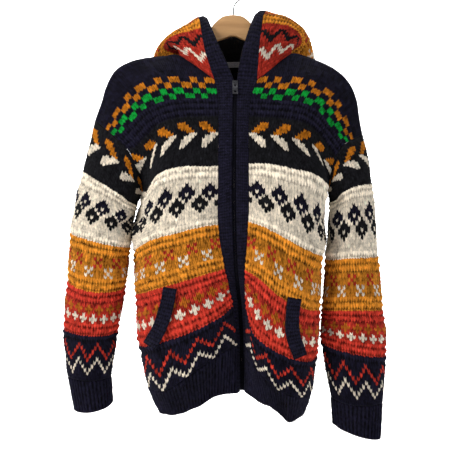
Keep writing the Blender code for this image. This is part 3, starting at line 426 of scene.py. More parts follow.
def relax(grid, times):
    """Softens the inside of a grid: each point goes half way to the middle of its neighbours."""
    for _ in range(times):
        around = grid[:-2, 1:-1] + grid[2:, 1:-1] + grid[1:-1, :-2] + grid[1:-1, 2:]
        grid[1:-1, 1:-1] += (around / 4 - grid[1:-1, 1:-1]) / 2


def hood_half(side, table, front, front_out, back, back_out, columns):
    """Half of the hood, sewn to the neckline of the front and of the back."""
    turn = -1 if side == "left" else 1
    neck = FRONT_COLUMNS.index(NECK_SHARE)
    start, middle = columns.index(BACK_NECK_SHARE), len(columns) // 2
    if side == "left":
        behind = np.s_[0, start + 1 : middle + 1]
    else:
        behind = np.s_[0, len(columns) - 2 - start : middle - 1 : -1]
    before = np.s_[0, : neck + 1]
    line = np.concatenate([front[before], back[behind]])
    shares = arc_shares(line)
    grid = cloth(table, shares, HOOD_ROWS, first=line)
    relax(grid, HOOD_RELAX)
    out = outward(grid, turn)
    out[-1, -1] = out[-2, -2]
    seam = unit(out[0] + np.concatenate([front_out[before], back_out[behind]]))
    seam[neck, 1] = 0
    seam[-1] = (0, 1, 0)
    seam = unit(seam)
    out[0] = seam
    front_out[before] = seam[: neck + 1]
    back_out[behind] = seam[neck + 1 :]
    back_out[0, start if side == "left" else -1 - start] = seam[neck]
    offset = -1 if side == "left" else 1
    flatten_seam(grid, out, np.s_[:, -1], 0, offset)
    flatten_seam(grid, out, np.s_[-1, :], 0, offset)
    draw_back(grid[0], grid[1], SEAM_GAP)
    return grid, out, shares


def band_grid(edge, free):
    """A band between the edge that it is sewn to and its free edge, with a line down its middle."""
    return np.stack([edge, (edge + free) / 2, free], axis=1)


def round_band(grid, out):
    """Raises a band's middle line, so that it is slightly rounded across."""
    grid[:, 1] += BAND_RAISE * out[:, 1]


# Stitches across each piece, and what a band of rows is made of
FRONT_STITCHES = 37
BACK_STITCHES = 2 * FRONT_STITCHES
SLEEVE_STITCHES = 63
HOOD_STITCHES = 40
BAND_STITCHES = 6
RIM_STITCHES = 6
WELT_STITCHES = 6
WELT_ROWS = 34
HEM_ROWS = 14
CUFF_ROWS = 12
# Real size of one stitch and one row, for the width of a crease
STITCH_WIDTH = 6.3
ROW_HEIGHT = 5.6
# The slow waves of hand knit cloth: how many, their shortest and longest length, and how far each moves the
# surface, in millimetres
UNEVEN_WAVES = 10
UNEVEN_LENGTHS = (38, 95)
UNEVEN = 0.3
# Where on a half wave a crease starts, which runs out at its end, and the power that makes the wave broad
CREASE_START = 0.15
CREASE_TAPER = 0.7
# How far single stitches stand out and hang down by chance, and how much relief is left on a piece's end rows
STITCH_WOBBLE = 0.28
ROW_WOBBLE = 0.07
END_RELIEF = 0.3
# Painted shade in the grooves, darkening the yarn's colour: the height below which it starts, the depth over
# which it grows, how far it wanders, its limits (the lower one lightens the highest crests a little with
# painted light), and its painted shade on the inner face
GROOVE_TOP = 0.5
GROOVE_DEPTH = 1.9
GROOVE_WANDER = 0.32
GROOVE_LIMITS = (-0.1, 1.05)
INNER_PAINTED_SHADE = 0.35
# How near to a piece's top edge a row counts as being on it, in rows
ROW_MARGIN = 0.05

PLAIN, RIDGE, VALLEY, RIB, FURROW = range(5)
# How far each point of a stitch stands out, in millimetres: on its upper line, then on its middle line, at
# its left edge, its left leg, its middle and its right leg
STITCH_HEIGHTS = {
    PLAIN: ((-1.5, 0.2, -1.1, 0.2), (-1.4, 1.3, -0.8, 1.3)),
    RIDGE: ((-0.9, 0.5, 0.9, -0.6), (0.7, 2.1, 1.9, 0.4)),
    VALLEY: ((-0.4, 0.9, 0.6, -0.5), (-1.8, -0.7, -0.9, -2.0)),
    RIB: ((-0.4, 1.4, 0.6, 1.4), (-0.4, 2.0, 0.7, 2.0)),
    FURROW: ((-0.6, -1.2, -1.3, -1.2), (-0.5, -0.8, -1.0, -0.8)),
}
# How far down a stitch's middle hangs below its edges, in rows
STITCH_SLANT = {PLAIN: 0.6, RIDGE: 0.3, VALLEY: 0.3, RIB: 0.5, FURROW: 0.0}

# Yarns: letter, colour as a picture shows it, how far its tone wanders from stitch to stitch, and how strong
# the painted shade in its grooves is
YARNS = {
    "N": ((0.092, 0.087, 0.150), 0.16, 0.9),
    "K": ((0.105, 0.105, 0.120), 0.16, 0.9),
    "W": ((0.940, 0.890, 0.810), 0.09, 0.62),
    "G": ((0.820, 0.520, 0.160), 0.16, 0.88),
    "R": ((0.745, 0.215, 0.160), 0.18, 0.88),
    "O": ((0.790, 0.475, 0.110), 0.14, 0.8),
    "E": ((0.060, 0.640, 0.230), 0.14, 0.8),
    "B": ((0.730, 0.400, 0.120), 0.18, 0.88),
}
YARN_LETTERS = "".join(YARNS)
NAVY = "N"

# Charts of the bands. Each row of a chart is a row of knitting with its stitches counted from the zip, and a
# dot is the band's own yarn.
FLECKS = {
    7: "OOO..OO...", 8: "OOO..OO...", 9: "...OO..OOO", 10: "...OO..OOO",
    11: "EEE..EE...", 12: "EEE..EE...", 13: "...EE..EEE", 14: "...EE..EEE",
}
LEAVES = {
    2: "....OOO.", 3: "...OOOO.", 4: "..OOOO..", 5: ".OOO....", 6: "WWW.....",
    7: ".WWWW...", 8: "..WWWW..", 9: "...WWW..", 10: "....WW..",
}
DIAMONDS = {
    5: "..N....", 6: ".NNN...", 7: "NNNNN..", 8: "NNWNN..", 9: ".NNN.K.",
    10: "..N.KKK", 11: "K..KKKK", 12: "K..KKWK", 13: "....KKK", 14: ".....K.",
}
CROSSES = {4: "R.R....", 5: ".R.....", 6: "R.R....", 7: "...W.W.", 8: "....W..", 9: "...W.W."}
PLUSES = {4: ".B..", 5: "BBB.", 6: ".B..", 7: "...W", 8: "W.WW", 9: "...W"}
WAVES = {
    2: "....R...", 3: "...R.R..", 4: "..R...R.", 5: ".R.....R", 6: "R...W...",
    7: "...W.W..", 8: "..W...W.", 9: ".W.....W", 10: "W.......",
}
PEAKS = {
    4: "...WW..", 5: "..WWWW.", 6: ".WW..WW", 7: "WW....W",
    9: "...KK..", 10: "..KKKK.", 11: ".KK..KK", 12: "KK....K",
}
# Bands: name, rows, yarn, garter rows at the top, garter rows at the foot, chart
BODY_BANDS = (
    ("yoke", 15, "N", 0, 0, FLECKS),
    ("ridges", 6, "N", 6, 0, {}),
    ("leaves", 17, "K", 0, 0, LEAVES),
    ("diamonds", 20, "W", 4, 2, DIAMONDS),
    ("crosses", 14, "G", 4, 4, CROSSES),
    ("pluses", 14, "R", 4, 4, PLUSES),
    ("waves", 11, "N", 2, 0, WAVES),
)
SLEEVE_BANDS = (
    ("leaves", 17, "K", 0, 0, LEAVES),
    ("diamonds", 20, "W", 4, 2, DIAMONDS),
    ("crosses", 14, "G", 4, 4, CROSSES),
    ("pluses", 14, "R", 4, 4, PLUSES),
    ("waves", 13, "N", 2, 0, WAVES),
)
HOOD_BANDS = (
    ("peaks", 15, "R", 0, 0, PEAKS),
    ("gold", 11, "G", 4, 2, CROSSES),
    ("cream", 16, "W", 2, 0, DIAMONDS),
    ("leaves", 14, "K", 0, 0, LEAVES),
)

# Creases: piece, start (share across, row), end (share across, row), depth, width in millimetres. A crease
# that stands out has a depth below zero.
CREASES = (
    ("front_left", (0.85, 33), (0.82, 66), 8, 10),
    ("front_left", (0.20, 80), (0.60, 90), 4, 16),
    ("front_right", (0.86, 34), (0.84, 70), 6, 11),
    ("front_right", (0.15, 78), (0.62, 92), 4, 16),
    ("front_left", (1.0, 42), (0.62, 52), 6.5, 13),
    ("front_left", (1.0, 48), (0.70, 62), -5.2, 14),
    ("front_left", (0.95, 60), (0.55, 78), 4.5, 16),
    ("front_left", (0.30, 60), (0.62, 95), 4.5, 18),
    ("front_left", (0.12, 40), (0.16, 70), -3, 15),
    ("front_left", (0.55, 16), (0.95, 34), 6, 14),
    ("front_right", (1.0, 40), (0.66, 49), 6.5, 13),
    ("front_right", (1.0, 50), (0.60, 60), -5.2, 15),
    ("front_right", (0.90, 62), (0.50, 84), 4.5, 16),
    ("front_right", (0.25, 66), (0.50, 96), 4.5, 17),
    ("front_right", (0.55, 15), (0.92, 33), 6, 14),
    ("back", (0.02, 42), (0.20, 56), 6.5, 15),
    ("back", (0.98, 41), (0.80, 54), 6.5, 15),
    ("back", (0.06, 58), (0.26, 84), 5.2, 18),
    ("back", (0.93, 60), (0.74, 88), 5.2, 18),
    ("back", (0.40, 30), (0.36, 66), 3.9, 22),
    ("back", (0.60, 26), (0.63, 70), 3.9, 22),
    ("back", (0.50, 60), (0.52, 95), -3.9, 20),
    ("sleeve_left", (0.02, 14), (0.28, 24), 8.5, 12),
    ("sleeve_left", (0.00, 24), (0.30, 34), 6.8, 13),
    ("sleeve_left", (0.10, 40), (0.34, 50), 6.8, 12),
    ("sleeve_left", (0.20, 56), (0.45, 62), 6.8, 12),
    ("sleeve_left", (0.08, 66), (0.40, 70), 6.8, 11),
    ("sleeve_left", (0.60, 44), (0.85, 52), 6.8, 13),
    ("sleeve_left", (0.58, 62), (0.90, 68), 6.8, 12),
    ("sleeve_right", (0.02, 14), (0.26, 23), 8.5, 12),
    ("sleeve_right", (0.05, 30), (0.32, 38), 6.8, 13),
    ("sleeve_right", (0.14, 44), (0.42, 54), 6.8, 12),
    ("sleeve_right", (0.10, 60), (0.40, 66), 6.8, 12),
    ("sleeve_right", (0.20, 68), (0.45, 73), -5.1, 10),
    ("sleeve_right", (0.60, 40), (0.85, 50), 6.8, 13),
    ("sleeve_right", (0.60, 60), (0.88, 68), 6.8, 12),
)


def linear(colour):
    """A colour as a picture shows it, as light."""
    return tuple(c / 12.92 if c <= 0.04045 else ((c + 0.055) / 1.055) ** 2.4 for c in colour)


class Form:
    """A piece's outer surface: points and outward directions on a grid of rows and columns. With top, which
    gives a column's first row, the rows start lower in some columns, as at the neckline."""

    def __init__(self, grid, out, columns, rows, ring=False, top=None):
        self.grid, self.out, self.ring, self.top = grid, out, ring, top
        self.columns, self.rows = np.asarray(columns, float), np.asarray(rows, float)

    def first_row(self, share):
        """The row at which this column starts."""
        return self.top(share) if self.top else self.rows[0]

    def knots(self, share):
        """The rows that this column's points are given at."""
        return drawn_down(self.rows, self.top(share)) if self.top else self.rows

    def at(self, shares, rows):
        """Points and outward directions at these shares across, each with its own list of rows."""
        both = np.concatenate([self.grid, self.out], axis=2)
        columns = self.columns
        if self.ring:
            both = np.concatenate([both[:, -2:], both, both[:, :2]], axis=1)
            columns = np.concatenate([columns[-2:] - 1, columns, columns[:2] + 1])
        across = np.stack([smooth(columns, line, shares) for line in both])
        lines = []
        for column, share in enumerate(shares):
            knots = self.knots(share)
            lines.append(smooth(knots, across[:, column], np.clip(rows[:, column], knots[0], knots[-1])))
        fine = np.stack(lines, axis=1)
        return fine[..., :3], unit(fine[..., 3:])


# Where the body's sides hang fuller than their sections: side, way, middle row, spread in rows, millimetres
SWELLS = (
    ("left", -1, 43, 9, 8),
    ("right", 1, 66, 26, 7),
)
# How far across a front this starts
SWELL_FROM = 0.55


def creased(name, shares, rows, stitches):
    """How far the creases of a piece draw its surface in, in millimetres."""
    depth = np.zeros(rows.shape)
    width = stitches * STITCH_WIDTH
    across, down = np.broadcast_to(shares * width, rows.shape), rows * ROW_HEIGHT
    for piece, start, end, deep, broad in CREASES:
        if piece != name:
            continue
        first = np.array([start[0] * width, start[1] * ROW_HEIGHT])
        last = np.array([end[0] * width, end[1] * ROW_HEIGHT])
        line = last - first
        run = ((across - first[0]) * line[0] + (down - first[1]) * line[1]) / (line @ line)
        held = np.clip(run, 0, 1)
        away = np.hypot(across - first[0] - held * line[0], down - first[1] - held * line[1])
        taper = np.sin(math.pi * (CREASE_START + (1 - CREASE_START) * held)) ** CREASE_TAPER
        depth += deep * taper * np.exp(-((away / broad) ** 2))
    return depth


def swelled(name, shares, rows):
    """How far the body's sides hang out below the arm, in millimetres to the right."""
    moved = np.zeros(rows.shape)
    for side, turn, middle, spread, most in SWELLS:
        if name == "front_" + side:
            edge = np.clip((shares - SWELL_FROM) / (1 - SWELL_FROM), 0, 1)
        elif name == "back":
            edge = np.clip(1 - (shares if side == "left" else 1 - shares) / ((1 - SWELL_FROM) / 2), 0, 1)
        else:
            continue
        moved += turn * most * edge * edge * (3 - 2 * edge) * np.exp(-(((rows - middle) / spread) ** 2))
    return moved


def uneven(shares, rows, stitches, seed):
    """Slow unevenness of hand knit cloth, in millimetres."""
    rng = np.random.default_rng(seed)
    across, down = np.broadcast_to(shares * stitches * STITCH_WIDTH, rows.shape), rows * ROW_HEIGHT
    total = np.zeros(rows.shape)
    for _ in range(UNEVEN_WAVES):
        way, phase, length = rng.uniform(0, math.tau), rng.uniform(0, math.tau), rng.uniform(*UNEVEN_LENGTHS)
        total += np.sin((across * math.cos(way) + down * math.sin(way)) * math.tau / length + phase)
    return UNEVEN * total


def banded(bands, stitches, mirrored_at=None, start=0):
    """The yarn and the kind of each stitch of a piece knitted in bands."""
    yarn_rows, kind_rows = [], []
    place = np.arange(stitches) + start
    if mirrored_at:
        place = start + np.where(place - start < mirrored_at, place - start, stitches - 1 - (place - start))
    for _, count, ground, top_ridges, foot_ridges, chart in bands:
        for row in range(count):
            line = chart.get(row, ".")
            yarn_rows.append([ground if line[p % len(line)] == "." else line[p % len(line)] for p in place])
            from_foot = count - 1 - row
            if row < top_ridges:
                kind = RIDGE if row % 2 == 0 else VALLEY
            elif from_foot < foot_ridges:
                kind = RIDGE if from_foot % 2 == 1 else VALLEY
            else:
                kind = PLAIN
            kind_rows.append([kind] * stitches)
    return np.array(yarn_rows), np.array(kind_rows)


def ribbing(rows, stitches):
    """The yarn and the kind of each stitch of a navy ribbed piece."""
    kinds = np.where(np.arange(stitches) % 2 == 0, RIB, FURROW)
    return np.full((rows, stitches), NAVY), np.tile(kinds, (rows, 1))


def garter(rows, stitches):
    """The yarn and the kind of each stitch of a navy piece with a ridge every other row."""
    kinds = np.where(np.arange(rows) % 2 == 0, RIDGE, VALLEY)
    return np.full((rows, stitches), NAVY), np.tile(kinds[:, None], (1, stitches))


def stitch_lattice(kinds, relief, ring, rng):
    """The outer face's lattice: the row and stitch that each point is in, how far it stands out, its place in
    rows, and how near it is to its stitch's middle line."""
    count, stitches = kinds.shape
    k = np.arange(4 * stitches + (0 if ring else 1))
    m = np.arange(2 * count + 1)
    cell = np.ix_(np.minimum(m // 2, count - 1), np.minimum(k // 4, stitches - 1))
    kind = kinds[cell]
    heights = np.array(list(STITCH_HEIGHTS.values()))
    height = relief * heights[kind, (m % 2)[:, None], (k % 4)[None, :]]
    height += relief * STITCH_WOBBLE * rng.standard_normal(kinds.shape)[cell]
    slant = np.array(list(STITCH_SLANT.values()))[kind]
    fold = 1 - np.abs(2 * (k % 4) / 4 - 1)
    ends = np.minimum(1, np.minimum(m, 2 * count - m) / 2)[:, None]
    height = height * np.where(ends > 0, 1, END_RELIEF)
    rows = m[:, None] / 2 + slant * fold[None, :] * ends
    rows += ROW_WOBBLE * ends * rng.standard_normal(kinds.shape)[cell]
    return cell, height, rows, fold


def draped(name, form, shares, rows, stitches, whole):
    """Points, outward directions and creases of a piece's surface, and the first row of each column. rows are
    counted in the form's own rows, and whole is for pieces that are uneven as the body's cloth is."""
    tops = np.array([form.first_row(share) for share in shares])
    first = np.maximum((rows <= tops + ROW_MARGIN).sum(axis=0) - 1, 0)
    rows = np.clip(rows, tops, form.rows[-1])
    points, out = form.at(shares, rows)
    points[..., 0] += swelled(name, shares, rows)
    crease = creased(name, shares, rows, stitches)
    if whole:
        crease += uneven(shares, rows, stitches, sum(map(ord, name)))
    return points, out, crease, first


def shell_faces(count, stitches, first, inner_first, ring, lined):
    """The faces of a shell: the outer face, the inner face and the rims that close it. Each has its row and
    stitch, and whether it shows the inner material."""
    across, inner_across = len(first), len(inner_first)
    base = (2 * count + 1) * across

    def outer_id(row, column):
        column = np.asarray(column) % across if ring else np.asarray(column)
        return np.maximum(row, first[column]) * across + column

    def inner_id(row, column):
        column = np.asarray(column) % inner_across if ring else np.asarray(column)
        return base + np.maximum(row, inner_first[column]) * inner_across + column

    r, c = (a.ravel() for a in np.meshgrid(np.arange(2 * count), np.arange(4 * stitches), indexing="ij"))
    outer = np.stack([outer_id(r, c), outer_id(r + 1, c), outer_id(r + 1, c + 1), outer_id(r, c + 1)], 1)
    i, j = (a.ravel() for a in np.meshgrid(np.arange(count), np.arange(stitches), indexing="ij"))
    inner = np.stack([inner_id(i, j), inner_id(i, j + 1), inner_id(i + 1, j + 1), inner_id(i + 1, j)], 1)
    rims = []
    for stitch in range(stitches):
        step = np.arange(4 * stitch, 4 * stitch + 5)
        top = outer_id(0, step).tolist() + [inner_id(0, stitch + 1), inner_id(0, stitch)]
        foot = outer_id(2 * count, step[::-1]).tolist()
        foot += [inner_id(count, stitch), inner_id(count, stitch + 1)]
        rims += [(top, 0, stitch), (foot, count - 1, stitch)]
    for row in range(0 if ring else count):
        step = np.arange(2 * row, 2 * row + 3)
        left = outer_id(step[::-1], 0).tolist() + [inner_id(row, 0), inner_id(row + 1, 0)]
        right = outer_id(step, across - 1).tolist()
        right += [inner_id(row + 1, stitches), inner_id(row, stitches)]
        rims += [(left, row, 0), (right, row, stitches - 1)]
    cells = [np.stack([r // 2, c // 4], 1), np.stack([i, j], 1), np.array([rim[1:] for rim in rims])]
    inside = [0] * len(outer) + [1] * len(inner)
    inside += [int(lined and rim[2] in (0, stitches - 1)) for rim in rims]

    faces = outer.tolist() + inner.tolist() + [rim[0] for rim in rims]
    faces = [list(dict.fromkeys(int(point) for point in face)) for face in faces]
    whole = np.array([len(face) > 2 for face in faces])
    faces = [face for face, keep in zip(faces, whole) if keep]
    return faces, np.concatenate(cells)[whole], np.array(inside)[whole]


def knit_mesh(name, places, faces, ply_and_shade, tint, inside, looks):
    """A knitted piece's object. Its mesh has the yarn's colour on each face and the lattice with its painted
    groove shade on each point.
    """
    used = np.unique(np.concatenate([np.array(face) for face in faces]))
    renumber = np.zeros(len(places), int)
    renumber[used] = np.arange(len(used))
    mesh = bpy.data.meshes.new(name)
    mesh.from_pydata((places[used] * MM).tolist(), [], [renumber[face].tolist() for face in faces])
    lattice = mesh.attributes.new("ply_and_shade", "FLOAT_VECTOR", "POINT")
    lattice.data.foreach_set("vector", ply_and_shade[used].ravel())
    corners = np.repeat(np.clip(tint, 0, 1), [len(face) for face in faces], axis=0)
    corners = np.concatenate([corners, np.ones((len(corners), 1))], axis=1)
    colour = mesh.color_attributes.new("yarn", "FLOAT_COLOR", "CORNER")
    colour.data.foreach_set("color", corners.ravel())
    for look in looks:
        mesh.materials.append(look)
    if len(looks) > 1:
        mesh.polygons.foreach_set("material_index", inside)
    mesh.polygons.foreach_set("use_smooth", np.ones(len(mesh.polygons), bool))
    mesh.update()
    made = bpy.data.objects.new(name, mesh)
    bpy.context.scene.collection.objects.link(made)
    return made


def knit(name, form, fabric, looks, wall, relief):
    """Knits a piece: a closed shell whose outer face has four points across and two down each stitch, and
    whose inner face is plain. looks are the materials of the outer and the inner face."""
    yarns, kinds = fabric
    count, stitches = kinds.shape
    rng = np.random.default_rng(sum(map(ord, name)))
    cell, height, rows, fold = stitch_lattice(kinds, relief, form.ring, rng)
    low, scale = form.rows[0], form.rows[-1] - form.rows[0]
    shares = np.arange(height.shape[1]) / (4 * stitches)
    whole = wall == KNIT_WALL
    points, out, crease, first = draped(name, form, shares, low + rows * scale / count, stitches, whole)
    outer = points + (height - crease)[..., None] * out

    inner_shares = np.arange(stitches + (0 if form.ring else 1)) / stitches
    inner_rows = low + np.arange(count + 1)[:, None] * scale / count
    inner_rows = np.repeat(inner_rows, len(inner_shares), axis=1)
    points, inner_out, sunk, inner_first = draped(name, form, inner_shares, inner_rows, stitches, whole)
    inner = points - (wall + sunk)[..., None] * inner_out

    faces, cells, inside = shell_faces(count, stitches, first, inner_first, form.ring, len(looks) > 1)
    if np.sum(np.cross(outer[1, 1] - outer[0, 0], outer[0, 1] - outer[1, 0]) * out[0, 0]) < 0:
        faces = [face[::-1] for face in faces]
    codes = np.vectorize(YARN_LETTERS.index)(yarns)
    wander = rng.standard_normal((count, stitches))[cells[:, 0], cells[:, 1]]
    shade = codes[cells[:, 0], cells[:, 1]]
    tones = np.array([linear(YARNS[letter][0]) for letter in YARN_LETTERS])
    spread = np.array([YARNS[letter][1] for letter in YARN_LETTERS])
    tint = tones[shade] * (1 + spread[shade] * wander)[:, None]

    # Painted shade: the yarn's colour is darkened where a point lies low in its stitch, in the grooves, by an
    # amount that wanders from half stitch to half stitch and that each yarn sets; the highest crests get a
    # little painted light
    half = (np.arange(height.shape[1]) // 2) % 2
    shade_wander = rng.standard_normal((count, stitches, 2))[cell[0], cell[1], half]
    dark = np.array([YARNS[letter][2] for letter in YARN_LETTERS])[codes[cell]]
    painted_groove_shade = (GROOVE_TOP - height / relief) / GROOVE_DEPTH + GROOVE_WANDER * shade_wander
    painted_groove_shade = dark * np.clip(painted_groove_shade, *GROOVE_LIMITS)
    steps = np.arange(height.shape[0])[:, None] / 2
    ply_and_shade = np.stack(np.broadcast_arrays(fold, steps, painted_groove_shade), axis=-1)
    # The inner face gets an even painted shade
    inner_ply_and_shade = np.full((inner_rows.size, 3), INNER_PAINTED_SHADE)
    ply_and_shade = np.concatenate([ply_and_shade.reshape(-1, 3), inner_ply_and_shade])
    places = np.concatenate([outer.reshape(-1, 3), inner.reshape(-1, 3)])
    return knit_mesh(name + "_knit", places, faces, ply_and_shade, tint, inside, looks)


# The height that the lamps aim at, in metres
AIM_HEIGHT = -0.45
# The pale sweep behind the jacket, in metres: the floor's height, where it ends and the steps of its bend
FLOOR = -1.02
SWEEP_FRONT = -5.0
SWEEP_BACK = 6.4
SWEEP_BEND = 1.4
SWEEP_STEPS = 12
SWEEP_TOP = 5.0
SWEEP_HALF_WIDTH = 7
# Points that a hem's and a cuff's edge lines are read at
HEM_POINTS = 61
CUFF_POINTS = 48
# Garter rows of the front bands and of the hood's rims, and how strongly the knit stands out on bands, rims
# and welts, and on all other pieces
BAND_ROWS = 206
RIM_ROWS = 112
BAND_RELIEF = 0.45
CLOTH_RELIEF = 1.1
# How far the pocket welts stand off the fronts, in millimetres, and the points of their surface
WELT_LIFT = 1.9
WELT_STEPS = 13
WELT_COLUMNS = 7
# Where the lines that look for the front start, in metres, ahead of the whole jacket
LOOK_FROM = -0.4
# How far the hood's halves lap at their seam, in millimetres
SEAM_LAP = 0.3
# The zip's teeth, in millimetres: their spacing and height along the zip, their width across it, their depth
# from front to back, how far their middles lie from its middle, and their rounding
TOOTH_PITCH = 2.8
TOOTH_HEIGHT = 1.1
TOOTH_WIDTH = 3.0
TOOTH_DEPTH = 2.2
TOOTH_SIDE = 1.1
TOOTH_EDGE = 0.3
# How many rows below the neck and above the hem the teeth start and end, and the points of their line
TEETH_START = 1.6
TEETH_END = 0.6
TEETH_POINTS = 30
# The steps that the hanger's arm is drawn out by, and its round edges, in millimetres
ARM_STEP = 5.0
ARM_ROUND = 4.2
# How squarely a face looks along the arm to count as its end, and how near it lies to it, in metres
FACING = 0.9
NEAR = 1e-5
# Edges sharper than this stay sharp to the eye on the hard pieces
SHARP = math.radians(40)
# The rounding of the slider's and the pull's edges, in millimetres
SLIDER_EDGE = 0.35
PULL_EDGE = 0.3
# How often the plies of the yarn turn along and across a stitch
TWIST_ALONG = 3.0
TWIST_ACROSS = 1.5


def band_forms(side, front, front_out, hood, hood_out):
    """The surfaces of a front band and of the hood's rim above it."""
    sign, turn = (-1, 1) if side == "left" else (1, -1)
    table = FRONT_LEFT if side == "left" else FRONT_RIGHT
    rows = [*panel_rows(FRONT_COLUMNS)[:, 0], ROW_HEM]
    zip_points = smooth([r[1] for r in ZIP_LINE], [r[2] for r in ZIP_LINE], rows)
    low = cloth(table, [0.0], [ROW_HEM])[0]
    free = zip_points + np.array([sign * BAND_TO_ZIP, 0, 0])
    band = band_grid(np.concatenate([front[:, 0], low]), free)
    band_out = outward(band, -turn)
    round_band(band, band_out)
    band_out[:, 2, 0] = 0
    band_out = unit(band_out)
    share_seam(front_out[:, 0], band_out[:-1, 0])
    hem_out = outward(cloth(table, FRONT_COLUMNS, [ROW_RIB, ROW_HEM]), turn)[1, 0]
    band_out[-1, 0] = unit(band_out[-1, 0] + 2 * hem_out)
    draw_back(band[:, 0], band[:, 1])
    rim_free = smooth(
        [0] + [r[1] for r in HOOD_RIM],
        [band[0, 2]] + [r[2 if side == "left" else 3] for r in HOOD_RIM],
        HOOD_ROWS,
    )
    rim = band_grid(hood[:, 0].copy(), rim_free)
    rim[0] = band[0]
    rim[0, 0] = hood[0, 0]
    rim_out = outward(rim, turn)
    round_band(rim, rim_out)
    rim[0, 1] = band[0, 1]
    rim_out[-1, :, 0] = 0
    rim_out = unit(rim_out)
    rim[-1, :, 0] = sign * SEAM_GAP
    rim_out[0] = unit(rim_out[0] + band_out[0])
    band_out[0] = rim_out[0]
    share_seam(hood_out[:, 0], rim_out[:, 0])
    draw_back(rim[:, 0], rim[:, 1])
    draw_back(hood[1:, 0], hood[1:, 1])
    draw_back(rim[0], rim[1], SEAM_GAP)
    draw_back(front[:, 0], front[:, 1])
    return Form(band, band_out, (0, 0.5, 1), rows), Form(rim, rim_out, (0, 0.5, 1), HOOD_ROWS)


def edge_form(top, top_out, shares, table, turn, ring=False, side_at=()):
    """The surface of a ribbed hem or cuff, from a piece's last line down to the table's last section. side_at
    says which of its ends lie at the side seams."""
    at = np.arange(CUFF_POINTS) / CUFF_POINTS if ring else np.linspace(0, 1, HEM_POINTS)
    if ring:
        top, top_out = np.concatenate([top, top[:1]]), np.concatenate([top_out, top_out[:1]])
        shares = [*shares, 1.0]
        rings = np.stack([ring_points(row[2:], at) for row in table[-2:]])
        low, low_out = rings[1], outward(rings, turn, ring=True)[1]
    else:
        both = cloth(table, at, [ROW_RIB, ROW_HEM])
        low, low_out = both[1], outward(both, turn)[1]
        behind = 1 if table is BACK else -1
        for end in side_at:
            low[end, 1] = behind * SEAM_GAP / 2
            low_out[end, 1] = 0
        low_out = unit(low_out)
    upper, upper_out = line_between(top, shares, at), line_between(top_out, shares, at)
    draw_back(upper, low)
    return Form(np.stack([upper, low]), unit(np.stack([upper_out, low_out])), at, (0, 1), ring)


def garment_forms():
    """Every knitted surface, in millimetres, from the tables of sections."""
    half = list(BACK_HALF_COLUMNS)
    back_columns = half + [0.5] + [1 - share for share in reversed(half)]
    pit = PANEL_ROWS.index(ROW_PIT)
    forms, fronts, sleeves, hoods = {}, {}, {}, {}
    tables = {"left": FRONT_LEFT, "right": FRONT_RIGHT}
    for side, table in tables.items():
        fronts[side] = front_panel(side, table)
    back, back_out = back_panel(back_columns, fronts["left"][0], fronts["right"][0])
    for side, table in (("left", SLEEVE_LEFT), ("right", SLEEVE_RIGHT)):
        sleeves[side] = sleeve_panel(side, table, *fronts[side], back, back_out)
    for side, table in (("left", HOOD_LEFT), ("right", HOOD_RIGHT)):
        hoods[side] = hood_half(side, table, *fronts[side], back, back_out, back_columns)
    for side, table in tables.items():
        front, front_out = fronts[side]
        hood, hood_out, hood_shares = hoods[side]
        hood[:, -1, 0] = SEAM_LAP if side == "left" else -SEAM_LAP
        bands = band_forms(side, front, front_out, hood, hood_out)
        forms["front_band_" + side], forms["hood_rim_" + side] = bands
        forms["hood_" + side] = Form(hood, hood_out, hood_shares, HOOD_ROWS)
        last = front[-1].copy()
        draw_back(front[-1], front[-2])
        draw_back(front[1:pit, -1], front[1:pit, -2])
        forms["front_" + side] = Form(front, front_out, FRONT_COLUMNS, PANEL_ROWS, top=neckline)
        turn = 1 if side == "left" else -1
        forms["hem_front_" + side] = edge_form(last, front_out[-1], FRONT_COLUMNS, table, turn, side_at=(-1,))
    last = back[-1].copy()
    draw_back(back[-1], back[-2])
    draw_back(back[1:pit, 0], back[1:pit, 1])
    draw_back(back[1:pit, -1], back[1:pit, -2])
    forms["back"] = Form(back, back_out, back_columns, PANEL_ROWS)
    forms["hem_back"] = edge_form(last, back_out[-1], back_columns, BACK, 1, side_at=(0, -1))
    for side, table in (("left", SLEEVE_LEFT), ("right", SLEEVE_RIGHT)):
        grid, out, shares = sleeves[side]
        turn = 1 if side == "left" else -1
        last, last_out = grid[-1].copy(), out[-1].copy()
        draw_back(grid[-1], grid[-2])
        forms["sleeve_" + side] = Form(grid, out, shares, SLEEVE_ROWS, ring=True)
        forms["cuff_" + side] = edge_form(last, last_out, shares, table, turn, ring=True)
    return forms


def new_look(name):
    """A new material, its nodes and its shader."""
    made = bpy.data.materials.new(name)
    made.use_nodes = True
    tree = made.node_tree
    return made, tree, tree.nodes["Principled BSDF"]


def add_node(tree, kind, **settings):
    """A new node with these settings."""
    node = tree.nodes.new(kind)
    for key, value in settings.items():
        setattr(node, key, value)
    return node


def maths(tree, operation, first, second):
    """The result of a sum on two numbers or outputs of nodes."""
    node = add_node(tree, "ShaderNodeMath", operation=operation)
    for socket, value in zip(node.inputs, (first, second)):
        if isinstance(value, (int, float)):
            socket.default_value = value
        else:
            tree.links.new(value, socket)
    return node.outputs[0]


